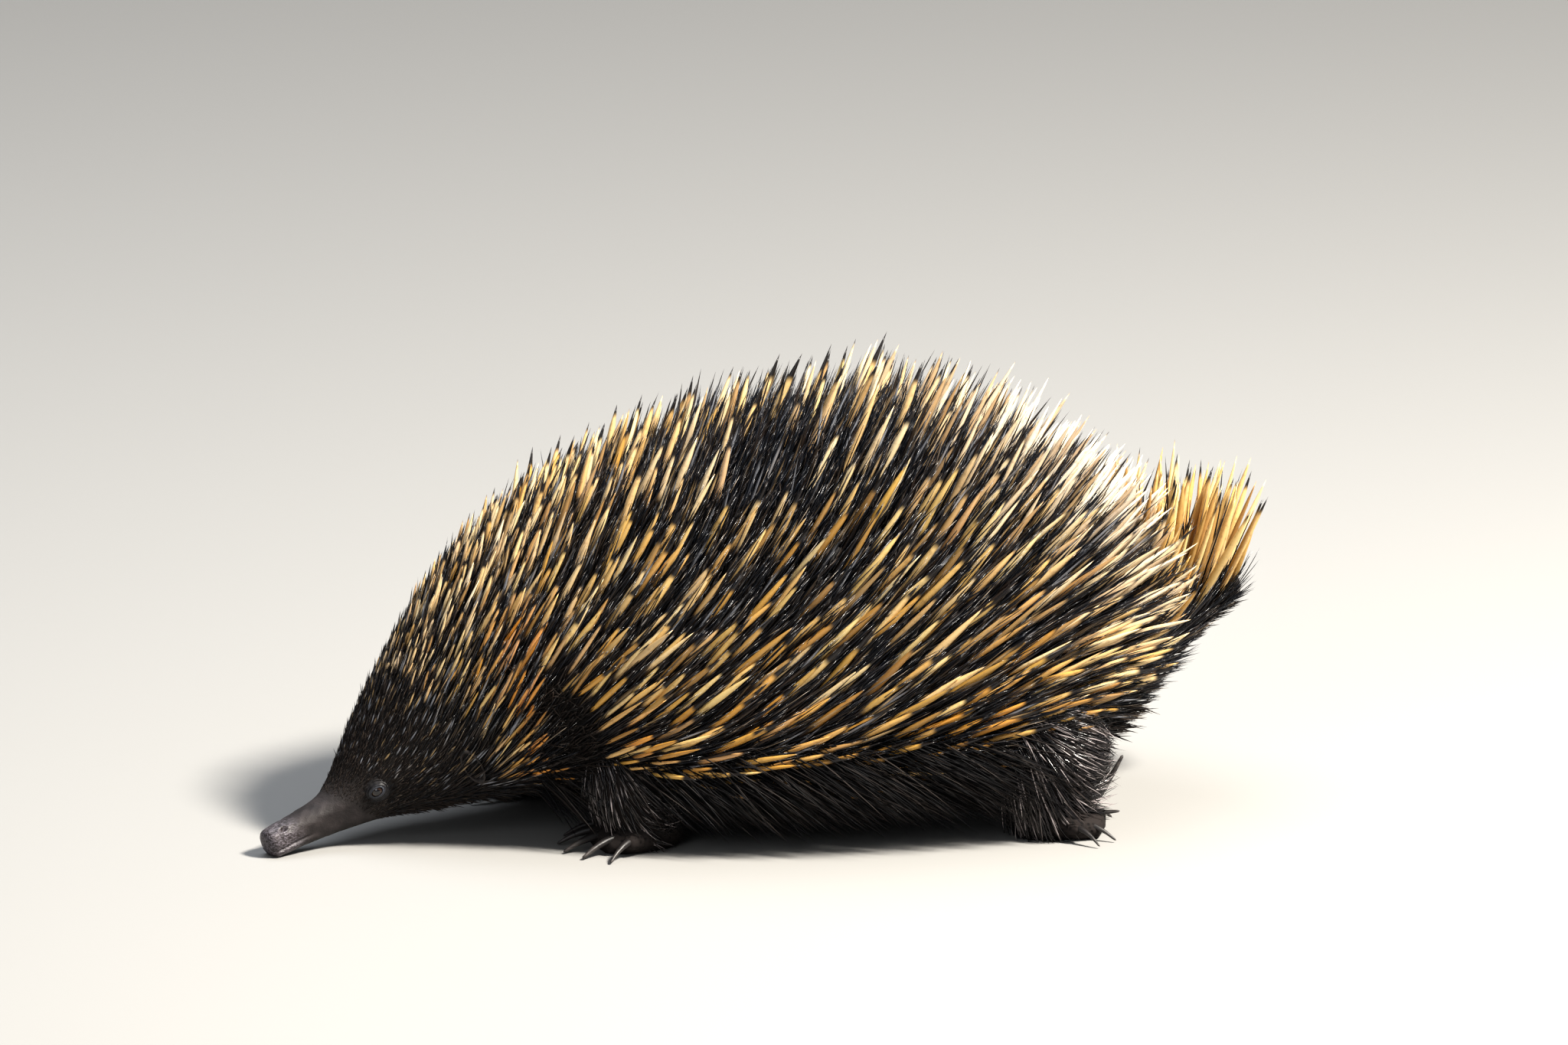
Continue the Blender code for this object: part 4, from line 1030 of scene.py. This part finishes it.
# Painted highlight: cream is mixed in where the painted sheen value is high.
gold = look.paint(gold, (0.86, 0.77, 0.63), look.value("bleach"))
gold = look.paint(gold, (0.26, 0.14, 0.045), (1 - tone).between(0.55, 1.0) * 0.75)
mottled = look.paint(gold, (0.26, 0.13, 0.045), look.noise(420).between(0.50, 0.78) * 0.45)
# Painted shade: darkens each spine from its root up to its own end of painted shade.
shaded_at_root = look.paint((0.030, 0.018, 0.012), mottled, (along - look.value("root_end")).between(-0.10, 0.06))
black_tip = (along - look.value("tip_start")).between(0.0, 0.09)
spine_finish = look.finish(
    Base_Color=look.paint(shaded_at_root, (0.012, 0.010, 0.010), black_tip), Roughness=0.30 + tone * 0.12
)
make_strands("spines", grown, tones, spine_finish, "spines")

# %% [markdown]
# ## Thin quills
#
# Between the stout spines stand thin ones, horn brown, grey or straw, a millimetre thick. On the face they are
# the only ones, and draw pale streaks over the dark fur.

# %% Thin quills
QUILL_SPACING = {
    "eyes": 3.6, "skull": 3.0, "ears": 3.6, "nape": 5.2, "shoulders": 8.0, "ribs": 9.4, "middle": 9.6, "loins": 9.0,
    "hips": 7.6, "rump": 6.4, "tail root": 6.5, "tail tip": 6.0,
}
u, turn = field(place("beak root", 0.9), 152, by_table(QUILL_SPACING), 0.34)
kept = (hollow_depth(u, turn) > 0.95) & (u > fur_edge(turn) + 6 * MM)
kept &= off_back(turn) < by_place(FIELD_TURN, u) + 8
kept &= (u < place("rump", 0.7)) | (draw.uniform(0, 1, len(u)) < 0.3)
u, turn = u[kept], turn[kept]
count = len(u)
low_down = lowness(turn)
length = short_of_hollow(u, turn, full_length(u, turn) * draw.uniform(0.62, 0.98, count) + 2 * MM)
width = np.interp(length, (6 * MM, 36 * MM), (0.34 * MM, 0.66 * MM)) * draw.uniform(0.7, 1.2, count)
width = width * (1 - 0.25 * low_down)
bow = draw.normal(-0.02, 0.05, count)
grown = coat(u, turn, length, width, 0.18, 6, bow, 0.06 * low_down, SPINE_PROFILE, 4)
look = Look("quill_horn")
along, tone = look.value("along"), look.value("tone")
horn = look.paint((0.030, 0.021, 0.017), (0.46, 0.32, 0.16), tone.between(0.45, 1.0))
horn = look.paint(horn, (0.26, 0.27, 0.30), look.value("grey") * 0.8)
# Painted shade: each quill is darkened near its root, where it stands in the fur.
horn = look.paint((0.020, 0.014, 0.011), horn, along.between(0.10, 0.45))
quill_finish = look.finish(
    Base_Color=look.paint(horn, (0.012, 0.010, 0.010), along.between(0.62, 0.88)), Roughness=0.32
)
pale = np.interp(u, (place("skull"), place("ears", 0.2)), (0.94, 1.0))
tones = {"tone": draw.uniform(0, 1, count) ** np.where(pale > 0.99, 1.9, 1.3) * pale}
tones["grey"] = (draw.uniform(0, 1, count) < 0.25) * 1.0
make_strands("thin_quills", grown, tones, quill_finish, "spines")
print("thin quills:", count)

# %% [markdown]
# ## Bristles
#
# The rest of the outer coat is black bristle, about a dozen to each spine and nearly as long. It makes the coat
# look dark from a step away, and its shine draws fine blue-grey lines. Low on the flank it droops.

# %% Bristles
HAIR_PROFILE = ((0.03, 0.8), (0.45, 1.0), (0.80, 0.62))
BRISTLE_LOWEST = 1.2 * MM
u, turn = field(place("beak root", 0.9), 156, by_table(BRISTLE_SPACING), 0.3)
on_tail = (u > place("rump", 0.7)) & (off_back(turn) < 84)
kept = (hollow_depth(u, turn) > 0.85) & (u > fur_edge(turn) + 4 * MM)
kept &= ~(on_tail & (draw.uniform(0, 1, len(u)) < 0.7))
u, turn = u[kept], turn[kept]
count = len(u)
low_down = lowness(turn)
rear_under = low_down * np.clip((u - place("hips")) / (20 * MM), 0, 1)
on_top = np.interp(off_back(turn), (10, 60), (0.82, 1.0))
under_tail = (u > place("tail root", 0.2)) & (off_back(turn) > 70)
length = full_length(u, turn) * draw.uniform(0.50, 0.94, count) * (1 - 0.5 * rear_under) * on_top
length = length * (1 - 0.45 * under_tail) + 2 * MM
width = np.interp(length, (6 * MM, 40 * MM), (0.15 * MM, 0.42 * MM)) * draw.uniform(0.7, 1.25, count)
bow, droop = draw.normal(-0.05, 0.07, count), 0.16 * low_down * (1 - rear_under)
grown = coat(u, turn, length, width, 0.15, 7, bow, droop, HAIR_PROFILE, 3, BRISTLE_LOWEST)
look = Look("bristle")
along, tone = look.value("along"), look.value("tone")
dark = look.paint((0.007, 0.009, 0.014), (0.036, 0.034, 0.038), tone.between(0.55, 1.0))
bristle_finish = look.finish(
    Base_Color=look.paint(dark, (0.17, 0.135, 0.10), tone.between(0.92, 0.95) * along.between(0.3, 0.8)),
    Roughness=0.30,
    Coat_Weight=0.10,
    Specular_IOR_Level=0.38,
)
make_strands("bristles", grown, {"tone": draw.uniform(0, 1, count)}, bristle_finish, "fur")
print("bristles:", count)

# %% [markdown]
# The fringe along the hem is longer, duller bristle that hangs almost to the floor before the hind leg. Its
# length at each root is chosen so that the tip ends just over the floor.

# %% Fringe
FRINGE_TIP = (2 * MM, 11 * MM)  # height at which the tips end, from lowest to highest
FRINGE_ENDS, FRINGE_TURNS = (place("ears", 0.6), place("loins", 0.7)), (math.radians(104), math.radians(156))
u, turn = spread(body_skin, FRINGE_ENDS, FRINGE_TURNS, lambda s, t: 1.7 * MM, 0.4)
turn = turn * np.where(draw.uniform(0, 1, len(turn)) < 0.5, -1, 1)
kept = hollow_depth(u, turn) > 0.95
u, turn = u[kept], turn[kept]
count = len(u)
here = body_skin(u, turn)
sag = np.radians(np.interp(u, [u.min(), u.max()], [40, 14]) + draw.normal(0, 8, count))
way = unit(np.stack([np.cos(sag), -np.sign(turn) * draw.uniform(0.20, 0.62, count), -np.sin(sag)], 1))
room = here[:, 2] - draw.uniform(*FRINGE_TIP, count)
length = np.clip(room / np.sin(sag + 0.12), 14 * MM, 60 * MM) * draw.uniform(0.82, 1.0, count)
width = draw.uniform(0.20, 0.45, count) * MM
bend = DOWN * (length * 0.10)[:, None]
unwrap = np.stack([u / PLACES[-1], (turn / np.pi + 1) / 2], 1)
grown = strands(here - way * 2 * MM, way, length, width, bend, HAIR_PROFILE, 3, unwrap, BRISTLE_LOWEST)
look = Look("fringe_bristle")
fringe_finish = look.finish(
    Base_Color=look.paint((0.006, 0.006, 0.007), (0.026, 0.021, 0.019), look.value("tone").between(0.4, 1.0)),
    Roughness=0.55,
    Specular_IOR_Level=0.14,
)
make_strands("fringe", grown, {"tone": draw.uniform(0, 1, count)}, fringe_finish, "fur")
print("fringe:", count)

# %% [markdown]
# ## Underfur
#
# Dark brown wool fills the coat between spines and bristles and covers the belly. Each tuft is a lock of hairs
# rather than one hair, a short spindle that lies back and overlaps its neighbours. The hollow behind the cheek
# holds the same wool, thicker, tousled and black.

# %% Underfur
FUR = {  # gap between tufts and their length, millimetres
    "beak root": (0.95, 2.0), "eyes": (1.05, 3.6), "skull": (1.5, 6.0), "ears": (2.2, 8.5), "nape": (2.8, 12.0),
    "shoulders": (3.3, 16.0), "middle": (3.6, 19.0), "hips": (3.4, 20.0), "rump": (2.9, 19.0),
    "tail root": (2.3, 14.0), "tail tip": (1.8, 8.0),
}
FUR_SPACING, FUR_LENGTH = columns(FUR)
TUFT_PROFILE = ((0.05, 0.8), (0.45, 1.0), (0.80, 0.55))
LID_CLEARANCE = 5.2 * MM


def tufts(u, turn, length, width, jitter, title):
    """Tufts of fur at the roots given, in one colour recipe; those of the face are the paler ones."""
    count = len(u)
    bow = draw.normal(-0.22, 0.10, count)
    grown = coat(u, turn, length, width, 0.28, jitter, bow, 0.06 + 0 * bow, TUFT_PROFILE, 3, 1 * MM)
    on_face = np.interp(u, (place("skull", 0.6), place("ears", 0.6)), (0.5, 1.0))
    make_strands(title, grown, {"tone": draw.uniform(0, 1, count) ** on_face}, fur_finish, "fur")
    print(title, count)


look = Look("fur")
along, tone = look.value("along"), look.value("tone")
brown = look.paint((0.006, 0.005, 0.005), (0.024, 0.017, 0.014), tone)
ends = along.between(0.5, 1.0) * tone.between(0.6, 1.0) * 0.7
fur_finish = look.finish(
    Base_Color=look.paint(brown, (0.070, 0.050, 0.038), ends), Roughness=0.55, Specular_IOR_Level=0.28
)
u, turn = field(place("beak root"), 180, lambda s, t: by_place(FUR_SPACING, s) * MM, 0.3)
eye_here = side_frame(EYE_PLACE, EYE_TURN, 1)[0]
kept = (u > fur_edge(turn)) & (np.linalg.norm(body_skin(u, np.abs(turn)) - eye_here, axis=1) > LID_CLEARANCE)
u, turn = u[kept], turn[kept]
grown_in = 0.45 + 0.55 * np.clip((u - fur_edge(turn)) / (10 * MM), 0, 1)
length = by_place(FUR_LENGTH, u) * MM * draw.uniform(0.75, 1.2, len(u)) * grown_in
width = np.interp(length, (2 * MM, 20 * MM), (0.15 * MM, 0.60 * MM)) * draw.uniform(0.7, 1.2, len(u))
tufts(u, turn, length, width, 11, "underfur")

# %% Wool of the hollow
reach = 1.35 * max(HOLLOW_REACH)
ends = (HOLLOW_PLACE - reach, HOLLOW_PLACE + reach)
u, turn = spread(body_skin, ends, (-math.pi, math.pi), lambda s, t: 1.5 * MM, 0.4)
kept = hollow_depth(u, turn) < draw.uniform(1.0, 1.4, len(u))
u, turn = u[kept], turn[kept]
length, width = draw.uniform(6, 13, len(u)) * MM, draw.uniform(0.2, 0.45, len(u)) * MM
tufts(u, turn, length, width, 30, "hollow_wool")

# %% [markdown]
# ## Hair of the legs
#
# On the hind leg the bristles swirl like water round a stone: over the top they run backward, on the leg's
# front they fall, and under the whorl they turn back and up again, catching the light along their bends. A
# share of them is painted pale along the middle as a painted highlight. The other legs are covered the same way.

# %% Leg hair
LEG_HAIR_PROFILE = ((0.04, 0.8), (0.30, 1.0), (0.60, 0.85), (0.85, 0.5))
LEG_HAIR = {"front": (1.9 * MM, 13 * MM), "hind": (1.55 * MM, 21 * MM)}  # gap between hairs, length
WHORL_HEIGHT, WHORL_REACH = 36 * MM, 24 * MM


def swirl(here, middle_x):
    """Way of the hair round a whorl: backward above and below it, downward before it."""
    back, high = (here[:, 0] - middle_x) / WHORL_REACH, (here[:, 2] - WHORL_HEIGHT) / WHORL_REACH
    before, behind = np.clip(0.25 - back, 0, 1), np.clip(back + 0.25, 0, 1)
    fall = before * np.clip(1.1 - high, 0.2, 1.4) + 0.55 * behind * np.clip(high, -0.9, 1)
    return unit(np.stack([1 - 0.55 * before, 0 * fall, -fall], 1))


def leg_coat(name):
    """Hair of one leg, laid along the swirl and raised a third of the way off the skin."""
    surface, whole = LEGS[name]
    gap, hair = LEG_HAIR[name.split("_")[0]]
    s, t = spread(surface, (0.10 * whole, whole), (0, 2 * math.pi), lambda s, t: gap, 0.35)
    here, out, _ = surface_frames(surface, s, t)
    out = out * np.sign(((here - here.mean(0)) * out).sum(1).mean())
    way = swirl(here, (FEET[name][1] + 2) * MM)
    way = way - out * (way * out).sum(1)[:, None]
    way = nudged(unit(unit(way) + out * 0.34), 8)
    long = hair * draw.uniform(0.55, 1.15, len(s)) * np.interp(here[:, 2], (6 * MM, 30 * MM), (1.15, 1.0))
    wide = draw.uniform(0.20, 0.46, len(s)) * MM
    bend = -out * (long * draw.uniform(0.15, 0.45, len(s)))[:, None] + DOWN * (long * 0.05)[:, None]
    unwrap = np.stack([s / whole, t / (2 * np.pi)], 1)
    return strands(here - way * SUNK, way, long, wide, bend, LEG_HAIR_PROFILE, 3, unwrap, 0.1 * MM)


look = Look("leg_bristle")
along, tone = look.value("along"), look.value("tone")
dark = look.paint((0.008, 0.007, 0.009), (0.036, 0.027, 0.022), tone.between(0.3, 1.0))
leg_hair_finish = look.finish(
    # Painted highlight: a share of the hairs is pale along its middle.
    Base_Color=look.paint(dark, (0.34, 0.30, 0.30), tone.between(0.70, 0.90) * along.between(0.2, 0.6)),
    Roughness=0.25,
    Coat_Weight=0.3,
)
for name in FEET:
    grown = leg_coat(name)
    make_strands(f"leg_hair_{name}", grown, {"tone": draw.uniform(0, 1, len(grown[0]))}, leg_hair_finish, "fur")

# %% [markdown]
# ## The floor
#
# A plain pale sheet carries the shadow and nothing else.

# %% Floor
FLOOR_REACH = 6.0
floor_finish = Look("floor").finish(Base_Color=(0.30, 0.295, 0.285), Roughness=0.95)
floor_mesh = bpy.data.meshes.new("floor")
corners = [(x * FLOOR_REACH, y * FLOOR_REACH, 0) for x, y in ((-1, -1), (1, -1), (1, 1), (-1, 1))]
floor_mesh.from_pydata(corners, [], [(0, 1, 2, 3)])
floor_mesh.materials.append(floor_finish)
floor = bpy.data.objects.new("floor", floor_mesh)
bpy.context.scene.collection.objects.link(floor)

# %% [markdown]
# ## Last update
#
# The view layer is brought up to date at the end.

# %% Update
bpy.context.view_layer.update()
